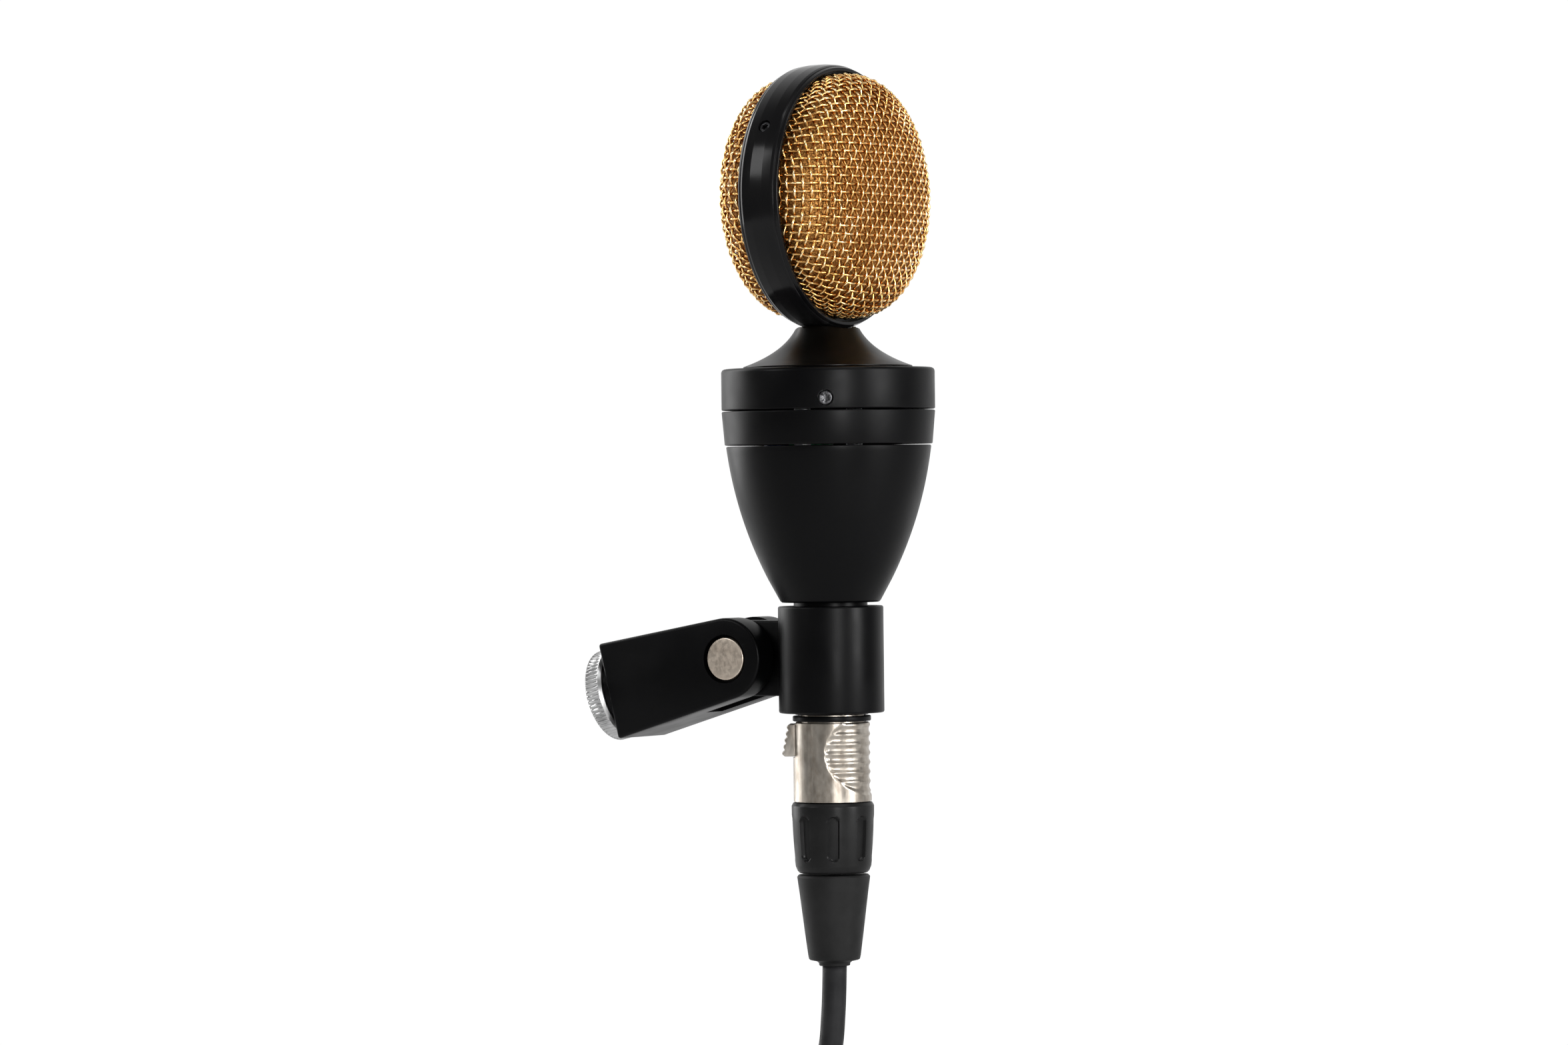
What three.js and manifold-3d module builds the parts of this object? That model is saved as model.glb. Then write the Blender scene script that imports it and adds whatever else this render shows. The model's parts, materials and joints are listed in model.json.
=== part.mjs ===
// Side-address condenser microphone on a tilting stand mount, with its plugged-in lead.
// Millimetres, +Z up. The head's front mesh faces -Y and the mount reaches back to +Y.
// The origin is the centre of the thread adapter's end face, where the stand's stud enters.

import * as THREE from 'three';
import { mergeVertices } from 'three/addons/utils/BufferGeometryUtils.js';
import Module from 'manifold-3d';

const wasm = await Module();
wasm.setup();

// ---------------------------------------------------------------- driving dimensions

const GAP = 0.3; // clearance between neighbouring pieces

// Mount: heights and lengths are measured from the tilt axis, the length down the sloping fork.
const MOUNT_SLOPE = THREE.MathUtils.degToRad(13.5);
const MIC_TO_PIVOT = 24.3;
const FORK_LENGTH = 35.3;
const FORK_HALF_WIDTH = 10.4;
const FORK_END_RADIUS = 10.0;
const FORK_BACK_HALF_HEIGHT = 12.05;
const SLOT_HALF_WIDTH = 3.6;
const SLOT_DEPTH = 12.6;
const BOSS_RADIUS = 10.3;
const BOSS_LENGTH = 1.0;
const BOLT_RADIUS = 3.0;
const BOLT_HEAD_RADIUS = 5.25;
const BOLT_HEAD_THICKNESS = 2.4;
const COUNTERBORE_RADIUS = 5.95;
const COUNTERBORE_DEPTH = 3.1;
const KNOB_RADIUS = 8.7;
const KNOB_WIDTH = 9.7;
const KNOB_FLUTES = 8;
const LOCK_RING_RADIUS = 11.4;
const LOCK_RING_WIDTH = 4.7;
const ADAPTER_RADIUS = 7.6; // 5/8 inch outer thread
const ADAPTER_BORE_RADIUS = 4.75; // 3/8 inch inner thread
const ADAPTER_BORE_DEPTH = 14;
const ADAPTER_LENGTH = 17.5;
const STAND_FACE = FORK_LENGTH + BOSS_LENGTH + LOCK_RING_WIDTH + 2 * GAP;

// Body: heights from the tilt axis, radii from the microphone's own axis.
const COLLAR_RADIUS = 12.85;
const COLLAR_TOP = 12.8;
const COLLAR_BOTTOM = -13.2;
const TONGUE_HALF_WIDTH = 2.5;
const TONGUE_HALF_HEIGHT = 9.25;
const WASHER_THICKNESS = 0.6;
const STEM_RADIUS = 9.0;
const STEM_BORE = 8.15;
const STEM_TOP = 20;
const STEM_BOTTOM = -13.6;
const RIM_RADIUS = 9.55;
const RIM_TOP = -13.9;
const RIM_BOTTOM = -15.2;
const SHELL_TOP = 51.75;
const SHELL_TOP_RADIUS = 25.0;
const SHELL_KNEE = 19.25; // below this height the bell is a straight cone
const SHELL_KNEE_RADIUS = 15.05;
const SHELL_BOTTOM = 13.7;
const SHELL_BOTTOM_RADIUS = 12.2;
const SHELL_CURVE_RADIUS = 97.6;
const SHELL_STEPS = 5;
const WALL = 2.2;
const MID_RING_TOP = 60.25;
const MID_RING_BOTTOM = 52.05;
const DRUM_RADIUS = 26.0;
const CAP_BOTTOM = 60.55;
const CAP_TOP = 70.6;
const CAP_WALL = 2.6;
const CAP_SCREW_HEIGHT = 63.1;
const CAP_SCREW_RADIUS = 1.7;
const CAP_SCREW_ANGLES = { front_left: -150, front_right: -30, back: 90 }; // from +X
const NECK_TOP_RADIUS = 7.15;
const NECK_TOP = 81.6;
const NECK_FOOT_RADIUS = 20.6;
const NECK_FOOT = 71.15;
const NECK_BEND = [9.75, 74.85];
const NECK_BORE = 3.5;

// Head: a ring on edge with a wire dome on each side. Its axis lies along Y.
const HEAD_HEIGHT = 112.1;
const RING_RADIUS = 32.2;
const RING_HALF_WIDTH = 5.5;
const RING_CROWN = 0.55;
const RING_BEVEL = 0.9;
const RING_BORE = 28.3;
const RING_RECESS = 30.4;
const RING_RECESS_DEPTH = 2.4;
const RING_SCREW_ANGLE = 30; // above the horizontal, on each side
const DOME_RADIUS = 30.0;
const DOME_DEPTH = 13.1; // past the ring's edge
const DOME_POWER = 2.8;
const GRILLE_THICKNESS = 1.4;
const LINER_THICKNESS = 0.5;
const CAPSULE_RADIUS = 17;
const CAPSULE_HALF_CORE = 4;

// Plug in the microphone's socket.
const PLUG_RADIUS = 9.5;
const PLUG_TOP = -15.5;
const PLUG_BOTTOM = -34.7;
const NOSE_RADIUS = 7.85;
const NOSE_TOP = -3.0;
const PLUG_BORE = 7.0;
const INSERT_RADIUS = 6.3;
const LATCH_ANGLE = 120; // from +X
const LATCH_HALF_WIDTH = 3.0;
const LATCH_INNER = 7.35;
const LATCH_OUTER = 12.1;
const LATCH_TOP = -15.8;
const LATCH_BOTTOM = -23.7;
const PIN_RADIUS = 1.2;
const PIN_CIRCLE = 4.2;
const PIN_ANGLES = [90, 210, 330];
const BOOT_TOP = -35.0;
const BOOT_BOTTOM = -52.1;
const RELIEF_TOP = -52.6;
const RELIEF_BOTTOM = -74.8;

// Cable. Its free stretch drifts back, passes behind the hank's upper loops and joins its runs.
const CABLE_RADIUS = 3;
const CABLE_SIDES = 8;
const TURN_PITCH = 6.2;
const HANK_LAYERS = 6;
const HANK_INNER_RADIUS = 18;
const HANK_STRAIGHT = 62;
const HANK_TOP = -134;
const HANK_Y = -4.9;
const HANK_OUTER_RADIUS = HANK_INNER_RADIUS + TURN_PITCH + CABLE_RADIUS + 0.2;
const HANK_CENTRE = HANK_TOP - HANK_OUTER_RADIUS - HANK_STRAIGHT / 2;
const STUB_ROUTE = [
  [0, 0, -75.1],
  [0, 0.2, -81],
  [0, 0.5, -86.1],
];
const LEAD_ROUTE = [
  [0, 1.3, -94.1],
  [0, 2.6, -99],
  [0, 4.3, -104],
  [0, 6.5, -109],
  [0, 9.0, -114],
  [0, 11.4, -119],
  [0, 13.6, -124],
  [0, 15.4, -129],
  [0, 16.3, -132.9],
];
const TAIL_X = HANK_INNER_RADIUS + 2 * TURN_PITCH + 0.5;
const TAIL_Y = HANK_Y + 2.5 * TURN_PITCH;
const END_PLUG_X = 38.3;
const END_RELIEF_TOP = -219;
const TAIL_ROUTE = [
  [TAIL_X, TAIL_Y, HANK_CENTRE + HANK_STRAIGHT / 2],
  [TAIL_X, TAIL_Y, HANK_CENTRE + 18],
  [TAIL_X, TAIL_Y, HANK_CENTRE + 4],
  [TAIL_X, TAIL_Y, HANK_CENTRE - 9],
  [TAIL_X + 1.7, TAIL_Y, HANK_CENTRE - 14],
  [END_PLUG_X - 1.7, TAIL_Y, HANK_CENTRE - 19],
  [END_PLUG_X, TAIL_Y, HANK_CENTRE - 24.5],
  [END_PLUG_X, TAIL_Y, END_RELIEF_TOP + 2 * GAP],
];
const TIE_HALF_HEIGHT = 8;
const TIE_THICKNESS = 1.6;
const END_SHELL_LENGTH = 36;
const END_PIN_LENGTH = 15;

// ---------------------------------------------------------------- shapes

// Turns a closed geometry into a solid: shared vertices merged, slivers dropped, faces outward.
function solid(geometry) {
  geometry.deleteAttribute('normal');
  geometry.deleteAttribute('uv');
  const merged = mergeVertices(geometry, 1e-4);
  const position = merged.getAttribute('position');
  const corners = [...merged.index.array];
  const triangles = [];
  let volume = 0;
  const [a, b, c] = [new THREE.Vector3(), new THREE.Vector3(), new THREE.Vector3()];
  for (let i = 0; i < corners.length; i += 3) {
    const [p, q, r] = corners.slice(i, i + 3);
    if (p === q || q === r || r === p) continue;
    triangles.push([p, q, r]);
    a.fromBufferAttribute(position, p);
    b.fromBufferAttribute(position, q);
    c.fromBufferAttribute(position, r);
    volume += a.dot(b.cross(c)) / 6;
  }
  const outward = volume > 0 ? triangles : triangles.map(([p, q, r]) => [p, r, q]);
  return new wasm.Manifold(new wasm.Mesh({
    numProp: 3,
    vertProperties: new Float32Array(position.array),
    triVerts: new Uint32Array(outward.flat()),
  }));
}

// A profile of [radius, height] pairs turned about Z. It closes on itself, or on the axis.
function turned(profile, segments) {
  const closed = profile[0][0] === 0 ? profile : [...profile, profile[0]];
  const points = closed.map(([radius, height]) => new THREE.Vector2(radius, height));
  const geometry = new THREE.LatheGeometry(points, segments);
  geometry.rotateX(Math.PI / 2);
  return solid(geometry);
}

// The same profile turned about Y, or about X.
function turnedAboutY(profile, segments) {
  return turned(profile, segments).rotate([-90, 0, 0]);
}

function turnedAboutX(profile, segments) {
  return turned(profile, segments).rotate([0, 90, 0]);
}

function tube(outer, inner, from, to, segments) {
  return turned([[inner, from], [outer, from], [outer, to], [inner, to]], segments);
}

function rod(radius, from, to, segments) {
  return turned([[0, from], [radius, from], [radius, to], [0, to]], segments);
}

function box(x, y, z) {
  const geometry = new THREE.BoxGeometry(x[1] - x[0], y[1] - y[0], z[1] - z[0]);
  geometry.translate((x[0] + x[1]) / 2, (y[0] + y[1]) / 2, (z[0] + z[1]) / 2);
  return solid(geometry);
}

// A shape drawn in (Y, Z) and extruded along X.
function slab(shape, from, to, curveSegments) {
  const geometry = new THREE.ExtrudeGeometry(shape, {
    depth: to - from,
    bevelEnabled: false,
    curveSegments,
  });
  geometry.translate(0, 0, from);
  geometry.applyMatrix4(new THREE.Matrix4().set(0, 0, 1, 0, 1, 0, 0, 0, 0, 1, 0, 0, 0, 0, 0, 1));
  return solid(geometry);
}

// A round section carried along a smooth curve through the route's points.
function cableAlong(route, steps) {
  const section = new THREE.Shape();
  for (let side = 0; side < CABLE_SIDES; side += 1) {
    const angle = (2 * Math.PI * side) / CABLE_SIDES;
    const [x, y] = [CABLE_RADIUS * Math.cos(angle), CABLE_RADIUS * Math.sin(angle)];
    if (side === 0) section.moveTo(x, y);
    else section.lineTo(x, y);
  }
  const curve = new THREE.CatmullRomCurve3(route.map((point) => new THREE.Vector3(...point)));
  return solid(new THREE.ExtrudeGeometry(section, { steps, extrudePath: curve, bevelEnabled: false }));
}

function stadium(halfWidth, halfStraight) {
  const shape = new THREE.Shape();
  shape.absarc(0, halfStraight, halfWidth, 0, Math.PI, false);
  shape.absarc(0, -halfStraight, halfWidth, Math.PI, 2 * Math.PI, false);
  shape.closePath();
  return shape;
}

function meshOf(name, body, look) {
  const faces = body.getMesh();
  const geometry = new THREE.BufferGeometry();
  geometry.setAttribute('position', new THREE.BufferAttribute(faces.vertProperties, 3));
  geometry.setIndex(new THREE.BufferAttribute(faces.triVerts, 1));
  geometry.computeVertexNormals();
  const mesh = new THREE.Mesh(geometry, new THREE.MeshStandardMaterial(look));
  mesh.name = name;
  return mesh;
}

// ---------------------------------------------------------------- looks

const BLACK_PAINT = { color: 0x17171a, roughness: 0.35, metalness: 0.2 };
const BLACK_GLOSS = { color: 0x101012, roughness: 0.2, metalness: 0.2 };
const GOLD_WIRE = { color: 0xc8862e, roughness: 0.3, metalness: 1 };
const NICKEL = { color: 0xb9b0a4, roughness: 0.28, metalness: 1 };
const CHROME = { color: 0xd6d6d8, roughness: 0.15, metalness: 1 };
const BRASS = { color: 0xb08d4a, roughness: 0.35, metalness: 1 };
const STEEL = { color: 0x8c8c90, roughness: 0.35, metalness: 1 };
const BLACK_PLASTIC = { color: 0x121213, roughness: 0.6, metalness: 0 };
const BLACK_RUBBER = { color: 0x141414, roughness: 0.75, metalness: 0 };
const BOARD_GREEN = { color: 0x1d5b38, roughness: 0.5, metalness: 0 };
const FIBRE = { color: 0x4a3a2a, roughness: 0.8, metalness: 0 };
const CAN = { color: 0x2b3a66, roughness: 0.4, metalness: 0.3 };
const HOOK_AND_LOOP = { color: 0x1b1b1c, roughness: 0.95, metalness: 0 };

// ---------------------------------------------------------------- head

// The dome's radius at a distance past the ring's edge: a flattened, boxy curve.
function domeRadius(distance, radius, depth) {
  return radius * (1 - (distance / depth) ** DOME_POWER) ** (1 / DOME_POWER);
}

function domeOutline(radius, depth, hem, steps) {
  const outline = [[radius, hem]];
  for (let i = 0; i <= steps; i += 1) {
    const distance = depth * Math.sin((Math.PI / 2) * (i / steps));
    const at = i === steps ? 0 : domeRadius(distance, radius, depth);
    outline.push([at, RING_HALF_WIDTH + distance]);
  }
  return outline;
}

// A cup of even thickness, open towards the ring. side is 1 for the front and -1 for the rear.
function dome(inset, thickness, side) {
  const hem = RING_HALF_WIDTH - RING_RECESS_DEPTH + GAP;
  const outer = domeOutline(DOME_RADIUS - inset, DOME_DEPTH - inset, hem, 6);
  const inner = domeOutline(DOME_RADIUS - inset - thickness, DOME_DEPTH - inset - thickness, hem, 6);
  const profile = [...outer.reverse(), ...inner];
  return turned(profile, 24).rotate([side * 90, 0, 0]);
}

// The band is crowned across its width, with a bevel along each edge and a recess for each hem.
function headRing() {
  const half = RING_HALF_WIDTH;
  const edge = RING_RADIUS - RING_CROWN;
  const shoulder = half - RING_BEVEL;
  const ledge = half - RING_RECESS_DEPTH;
  const profile = [
    [RING_RECESS, half],
    [edge - RING_BEVEL * 0.7, half],
    [edge, shoulder],
    [RING_RADIUS - 0.14, shoulder / 2],
    [RING_RADIUS, 0],
    [RING_RADIUS - 0.14, -shoulder / 2],
    [edge, -shoulder],
    [edge - RING_BEVEL * 0.7, -half],
    [RING_RECESS, -half],
    [RING_RECESS, -ledge],
    [RING_BORE, -ledge],
    [RING_BORE, ledge],
    [RING_RECESS, ledge],
  ];
  let ring = turnedAboutY(profile, 36);
  ring = ring.subtract(rod(NECK_BORE, -RING_RADIUS - 2, -RING_BORE + 2, 12));
  for (const angle of [RING_SCREW_ANGLE, 180 - RING_SCREW_ANGLE]) {
    ring = ring.subtract(rod(1.6, RING_BORE - 2, RING_RADIUS + 2, 12).rotate([0, 90 - angle, 0]));
  }
  return ring;
}

function ringScrew(angle) {
  const head = rod(1.3, RING_BORE + 0.4, RING_RADIUS - 0.35, 12);
  const socket = rod(0.65, RING_RADIUS - 1.3, RING_RADIUS + 1, 6);
  return head.subtract(socket).rotate([0, 90 - angle, 0]);
}

function headPieces() {
  const half = CAPSULE_HALF_CORE;
  const disc = [[0, half + GAP], [15, half + GAP], [CAPSULE_RADIUS, half + GAP],
    [CAPSULE_RADIUS, half + 2.2], [14, half + 2.2], [13.4, half + 1.0], [0, half + 1.0]];
  const saddleTop = -CAPSULE_RADIUS + 5;
  const saddle = box([-9, 9], [-half, half], [-CAPSULE_RADIUS - 5.5, saddleTop])
    .subtract(turnedAboutY([[0, -9], [CAPSULE_RADIUS + GAP, -9], [CAPSULE_RADIUS + GAP, 9], [0, 9]], 32))
    .subtract(rod(1.5, -CAPSULE_RADIUS - 9, 0, 10));
  const post = tube(3.2, 1.6, -RING_BORE + 0.6, -CAPSULE_RADIUS - 5.5 - GAP, 14);
  return [
    meshOf('head_ring', headRing(), BLACK_GLOSS),
    meshOf('ring_screw_left', ringScrew(180 - RING_SCREW_ANGLE), STEEL),
    meshOf('ring_screw_right', ringScrew(RING_SCREW_ANGLE), STEEL),
    meshOf('front_grille', dome(0, GRILLE_THICKNESS, 1), GOLD_WIRE),
    meshOf('rear_grille', dome(0, GRILLE_THICKNESS, -1), GOLD_WIRE),
    meshOf('front_inner_mesh', dome(GRILLE_THICKNESS + GAP, LINER_THICKNESS, 1), GOLD_WIRE),
    meshOf('rear_inner_mesh', dome(GRILLE_THICKNESS + GAP, LINER_THICKNESS, -1), GOLD_WIRE),
    meshOf('capsule_core', turnedAboutY([[0, -half], [CAPSULE_RADIUS, -half],
      [CAPSULE_RADIUS, half], [0, half]], 32), BRASS),
    meshOf('front_diaphragm', turned(disc, 32).rotate([90, 0, 0]), CHROME),
    meshOf('rear_diaphragm', turned(disc, 32).rotate([-90, 0, 0]), CHROME),
    meshOf('capsule_saddle', saddle, BLACK_PLASTIC),
    meshOf('capsule_post', post, STEEL),
  ];
}

// ---------------------------------------------------------------- neck, cap and bell

// A quarter-like flare from the ring down to the cap, cut on top to the ring's curve.
function neck() {
  const flare = new THREE.QuadraticBezierCurve(
    new THREE.Vector2(NECK_FOOT_RADIUS, NECK_FOOT),
    new THREE.Vector2(...NECK_BEND),
    new THREE.Vector2(NECK_TOP_RADIUS, NECK_TOP),
  );
  const profile = [
    [NECK_BORE, 67],
    [9.7, 67],
    [9.7, CAP_TOP + GAP],
    [NECK_FOOT_RADIUS, CAP_TOP + GAP],
    ...flare.getPoints(5).map((point) => [point.x, point.y]),
    [NECK_TOP_RADIUS, NECK_TOP + 2.5],
    [NECK_BORE, NECK_TOP + 2.5],
  ];
  const ringSpace = turnedAboutY([[0, -20], [RING_RADIUS + GAP, -20], [RING_RADIUS + GAP, 20], [0, 20]], 48)
    .translate([0, 0, HEAD_HEIGHT]);
  return turned(profile, 24).subtract(ringSpace);
}

function topCap() {
  const profile = [
    [10, CAP_TOP],
    [10, CAP_TOP - 3.2],
    [DRUM_RADIUS - CAP_WALL, CAP_TOP - 3.2],
    [DRUM_RADIUS - CAP_WALL, CAP_BOTTOM],
    [DRUM_RADIUS, CAP_BOTTOM],
    [DRUM_RADIUS, CAP_TOP - 1.1],
    [DRUM_RADIUS - 0.35, CAP_TOP - 0.35],
    [DRUM_RADIUS - 1.1, CAP_TOP],
  ];
  let cap = turned(profile, 32);
  for (const angle of Object.values(CAP_SCREW_ANGLES)) {
    cap = cap.subtract(radial(rod(CAP_SCREW_RADIUS + GAP, 20, 30, 12), angle, CAP_SCREW_HEIGHT));
  }
  return cap;
}

// Lays a piece that was made along Z out along a radius, at an angle from +X and at a height.
function radial(body, angle, height) {
  return body.rotate([0, 90, 0]).rotate([0, 0, angle]).translate([0, 0, height]);
}

function capScrew(angle) {
  const screw = rod(CAP_SCREW_RADIUS, 19.5, DRUM_RADIUS - 0.25, 12);
  const socket = rod(0.95, DRUM_RADIUS - 2, DRUM_RADIUS + 1, 6);
  return radial(screw.subtract(socket), angle, CAP_SCREW_HEIGHT);
}

// The bell's outer radius: an arc from its rim down to the knee, then a straight cone.
function shellOutline() {
  const chord = new THREE.Vector2(SHELL_TOP_RADIUS - SHELL_KNEE_RADIUS, SHELL_TOP - SHELL_KNEE);
  const bulge = chord.length() ** 2 / (8 * SHELL_CURVE_RADIUS);
  const outward = new THREE.Vector2(chord.y, -chord.x).normalize();
  const outline = [[SHELL_BOTTOM_RADIUS - 0.5, SHELL_BOTTOM], [SHELL_BOTTOM_RADIUS, SHELL_BOTTOM + 0.5]];
  for (let i = 0; i <= SHELL_STEPS; i += 1) {
    const along = i / SHELL_STEPS;
    const push = 4 * bulge * along * (1 - along);
    outline.push([
      SHELL_KNEE_RADIUS + chord.x * along + outward.x * push,
      SHELL_KNEE + chord.y * along + outward.y * push,
    ]);
  }
  return outline;
}

function bodyShell() {
  const outline = shellOutline();
  const inner = outline.slice(2).map(([radius, height]) => [radius - WALL, height]);
  const profile = [
    ...outline,
    ...inner.reverse(),
    [11.0, SHELL_BOTTOM + 2.5],
    [STEM_RADIUS + GAP, SHELL_BOTTOM + 2.5],
    [STEM_RADIUS + GAP, SHELL_BOTTOM],
  ];
  return turned(profile, 32);
}

function midRing() {
  const inner = DRUM_RADIUS - CAP_WALL;
  return turned([
    [inner, MID_RING_BOTTOM],
    [DRUM_RADIUS - 0.7, MID_RING_BOTTOM],
    [DRUM_RADIUS, MID_RING_TOP],
    [inner, MID_RING_TOP],
  ], 32);
}

function chassisPlate() {
  let plate = tube(23.0, 6, CAP_BOTTOM + 0.7, 66.5, 24);
  for (const angle of Object.values(CAP_SCREW_ANGLES)) {
    plate = plate.subtract(radial(rod(CAP_SCREW_RADIUS + GAP, 19, 25, 12), angle, CAP_SCREW_HEIGHT));
  }
  return plate;
}

function bodyPieces() {
  const pieces = [
    meshOf('neck', neck(), BLACK_GLOSS),
    meshOf('top_cap', topCap(), BLACK_GLOSS),
    meshOf('mid_ring', midRing(), BLACK_GLOSS),
    meshOf('body_shell', bodyShell(), BLACK_PAINT),
    meshOf('chassis_plate', chassisPlate(), STEEL),
    meshOf('chassis_rod_left', rod(2, 23.2, 60.9, 12).translate([-12, 0, 0]), STEEL),
    meshOf('chassis_rod_right', rod(2, 23.2, 60.9, 12).translate([12, 0, 0]), STEEL),
    meshOf('circuit_board', box([-9, 9], [4.2, 5.8], [24, 58]), BOARD_GREEN),
    meshOf('output_transformer', box([-7.5, 7.5], [-9, 3.9], [32, 48]), STEEL),
    meshOf('coupling_capacitor', rod(4.4, 38, 52, 16).translate([-4.6, 10.6, 0]), CAN),
    meshOf('filter_capacitor', rod(3.2, 40, 50, 14).translate([5, 9.4, 0]), CAN),
  ];
  for (const [place, angle] of Object.entries(CAP_SCREW_ANGLES)) {
    pieces.push(meshOf(`cap_screw_${place}`, capScrew(angle), STEEL));
  }
  return pieces;
}

// ---------------------------------------------------------------- stem, collar and socket

function stemTube() {
  return turned([
    [6.5, STEM_TOP],
    [6.5, 9],
    [STEM_BORE, 9],
    [STEM_BORE, STEM_BOTTOM],
    [STEM_RADIUS, STEM_BOTTOM],
    [STEM_RADIUS, SHELL_BOTTOM + 2.8],
    [10.3, SHELL_BOTTOM + 2.8],
    [10.3, SHELL_BOTTOM + 4.8],
    [STEM_RADIUS, SHELL_BOTTOM + 4.8],
    [STEM_RADIUS, STEM_TOP],
  ], 28);
}

// The collar that carries the body, with the flat tongue that turns in the fork.
function mountCollar() {
  const chamfer = 0.4;
  const sleeve = turned([
    [8, COLLAR_BOTTOM],
    [COLLAR_RADIUS - chamfer, COLLAR_BOTTOM],
    [COLLAR_RADIUS, COLLAR_BOTTOM + chamfer],
    [COLLAR_RADIUS, COLLAR_TOP - chamfer],
    [COLLAR_RADIUS - chamfer, COLLAR_TOP],
    [8, COLLAR_TOP],
  ], 36);
  const outline = new THREE.Shape();
  outline.moveTo(10, -TONGUE_HALF_HEIGHT);
  outline.lineTo(MIC_TO_PIVOT, -TONGUE_HALF_HEIGHT);
  outline.absarc(MIC_TO_PIVOT, 0, TONGUE_HALF_HEIGHT, -Math.PI / 2, Math.PI / 2, false);
  outline.lineTo(10, TONGUE_HALF_HEIGHT);
  outline.closePath();
  const hole = turnedAboutX([[0, -9], [BOLT_RADIUS + GAP, -9], [BOLT_RADIUS + GAP, 9], [0, 9]], 20)
    .translate([0, MIC_TO_PIVOT, 0]);
  return sleeve
    .add(slab(outline, -TONGUE_HALF_WIDTH, TONGUE_HALF_WIDTH, 14))
    .subtract(rod(STEM_RADIUS + GAP, COLLAR_BOTTOM - 1, COLLAR_TOP + 1, 36))
    .subtract(hole);
}

function atPin(body, index) {
  const angle = THREE.MathUtils.degToRad(PIN_ANGLES[index]);
  return body.translate([PIN_CIRCLE * Math.cos(angle), PIN_CIRCLE * Math.sin(angle), 0]);
}

function outputInsert() {
  let insert = rod(STEM_BORE - GAP, 2, 8, 24);
  for (const index of PIN_ANGLES.keys()) {
    insert = insert.subtract(atPin(rod(PIN_RADIUS + GAP, 0, 10, 10), index));
  }
  return insert;
}

function stemPieces() {
  const pieces = [
    meshOf('stem_tube', stemTube(), BLACK_PAINT),
    meshOf('mount_collar', mountCollar(), BLACK_PAINT),
    meshOf('socket_rim', tube(RIM_RADIUS, STEM_BORE, RIM_BOTTOM, RIM_TOP, 28), BLACK_PAINT),
    meshOf('output_insert', outputInsert(), BLACK_PLASTIC),
  ];
  for (const index of PIN_ANGLES.keys()) {
    pieces.push(meshOf(`output_pin_${index + 1}`, atPin(rod(PIN_RADIUS, -9.5, 10.5, 10), index), BRASS));
  }
  return pieces;
}

// ---------------------------------------------------------------- mount

// In the fork's own frame: the tilt axis is the origin, and +Y runs down towards the stand.
function fork() {
  const outline = new THREE.Shape();
  outline.moveTo(FORK_LENGTH, -FORK_BACK_HALF_HEIGHT);
  outline.lineTo(FORK_LENGTH, FORK_BACK_HALF_HEIGHT);
  outline.absarc(0, 0, FORK_END_RADIUS, Math.PI / 2, (3 * Math.PI) / 2, false);
  outline.closePath();
  const along = (radius, from, to, segments) => rod(radius, from, to, segments).rotate([-90, 0, 0]);
  const across = (radius, from, to, segments) => rod(radius, from, to, segments).rotate([0, 90, 0]);
  const slot = [-SLOT_HALF_WIDTH, SLOT_HALF_WIDTH];
  const boreFrom = STAND_FACE - ADAPTER_LENGTH - GAP;
  return slab(outline, -FORK_HALF_WIDTH, FORK_HALF_WIDTH, 16)
    .add(along(BOSS_RADIUS, FORK_LENGTH - 1, FORK_LENGTH + BOSS_LENGTH, 32))
    .subtract(box(slot, [-15, SLOT_DEPTH], [-15, 15]))
    .subtract(across(BOLT_RADIUS + GAP, -15, 15, 20))
    .subtract(across(COUNTERBORE_RADIUS, -15, -FORK_HALF_WIDTH + COUNTERBORE_DEPTH, 28))
    .subtract(along(ADAPTER_RADIUS + GAP, boreFrom, FORK_LENGTH + 3, 28));
}

function pivotBolt() {
  const face = -FORK_HALF_WIDTH + 0.35;
  const shoulder = face + BOLT_HEAD_THICKNESS;
  const end = FORK_HALF_WIDTH + KNOB_WIDTH - 1.5;
  return turnedAboutX([
    [0, face],
    [BOLT_HEAD_RADIUS - 0.3, face],
    [BOLT_HEAD_RADIUS, face + 0.3],
    [BOLT_HEAD_RADIUS, shoulder],
    [BOLT_RADIUS, shoulder],
    [BOLT_RADIUS, end],
    [0, end],
  ], 28);
}

function pivotKnob() {
  const from = FORK_HALF_WIDTH + GAP;
  const to = from + KNOB_WIDTH;
  let knob = turnedAboutX([
    [0, to],
    [KNOB_RADIUS - 0.8, to],
    [KNOB_RADIUS, to - 0.8],
    [KNOB_RADIUS, from + 2.2],
    [KNOB_RADIUS - 2.2, from + 1.4],
    [KNOB_RADIUS - 2.2, from],
    [BOLT_RADIUS + GAP, from],
    [BOLT_RADIUS + GAP, to - 1.5 + GAP],
    [0, to - 1.5 + GAP],
  ], 32);
  for (let flute = 0; flute < KNOB_FLUTES; flute += 1) {
    const groove = rod(1.3, -30, 30, 8).rotate([0, 90, 0]).translate([0, KNOB_RADIUS + 0.5, 0]);
    knob = knob.subtract(groove.rotate([(360 * flute) / KNOB_FLUTES, 0, 0]));
  }
  return knob;
}

function washer(side) {
  const inner = TONGUE_HALF_WIDTH + 0.25;
  return tube(8, BOLT_RADIUS + GAP, inner, inner + WASHER_THICKNESS, 20)
    .rotate([0, 90 * side, 0]);
}

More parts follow.
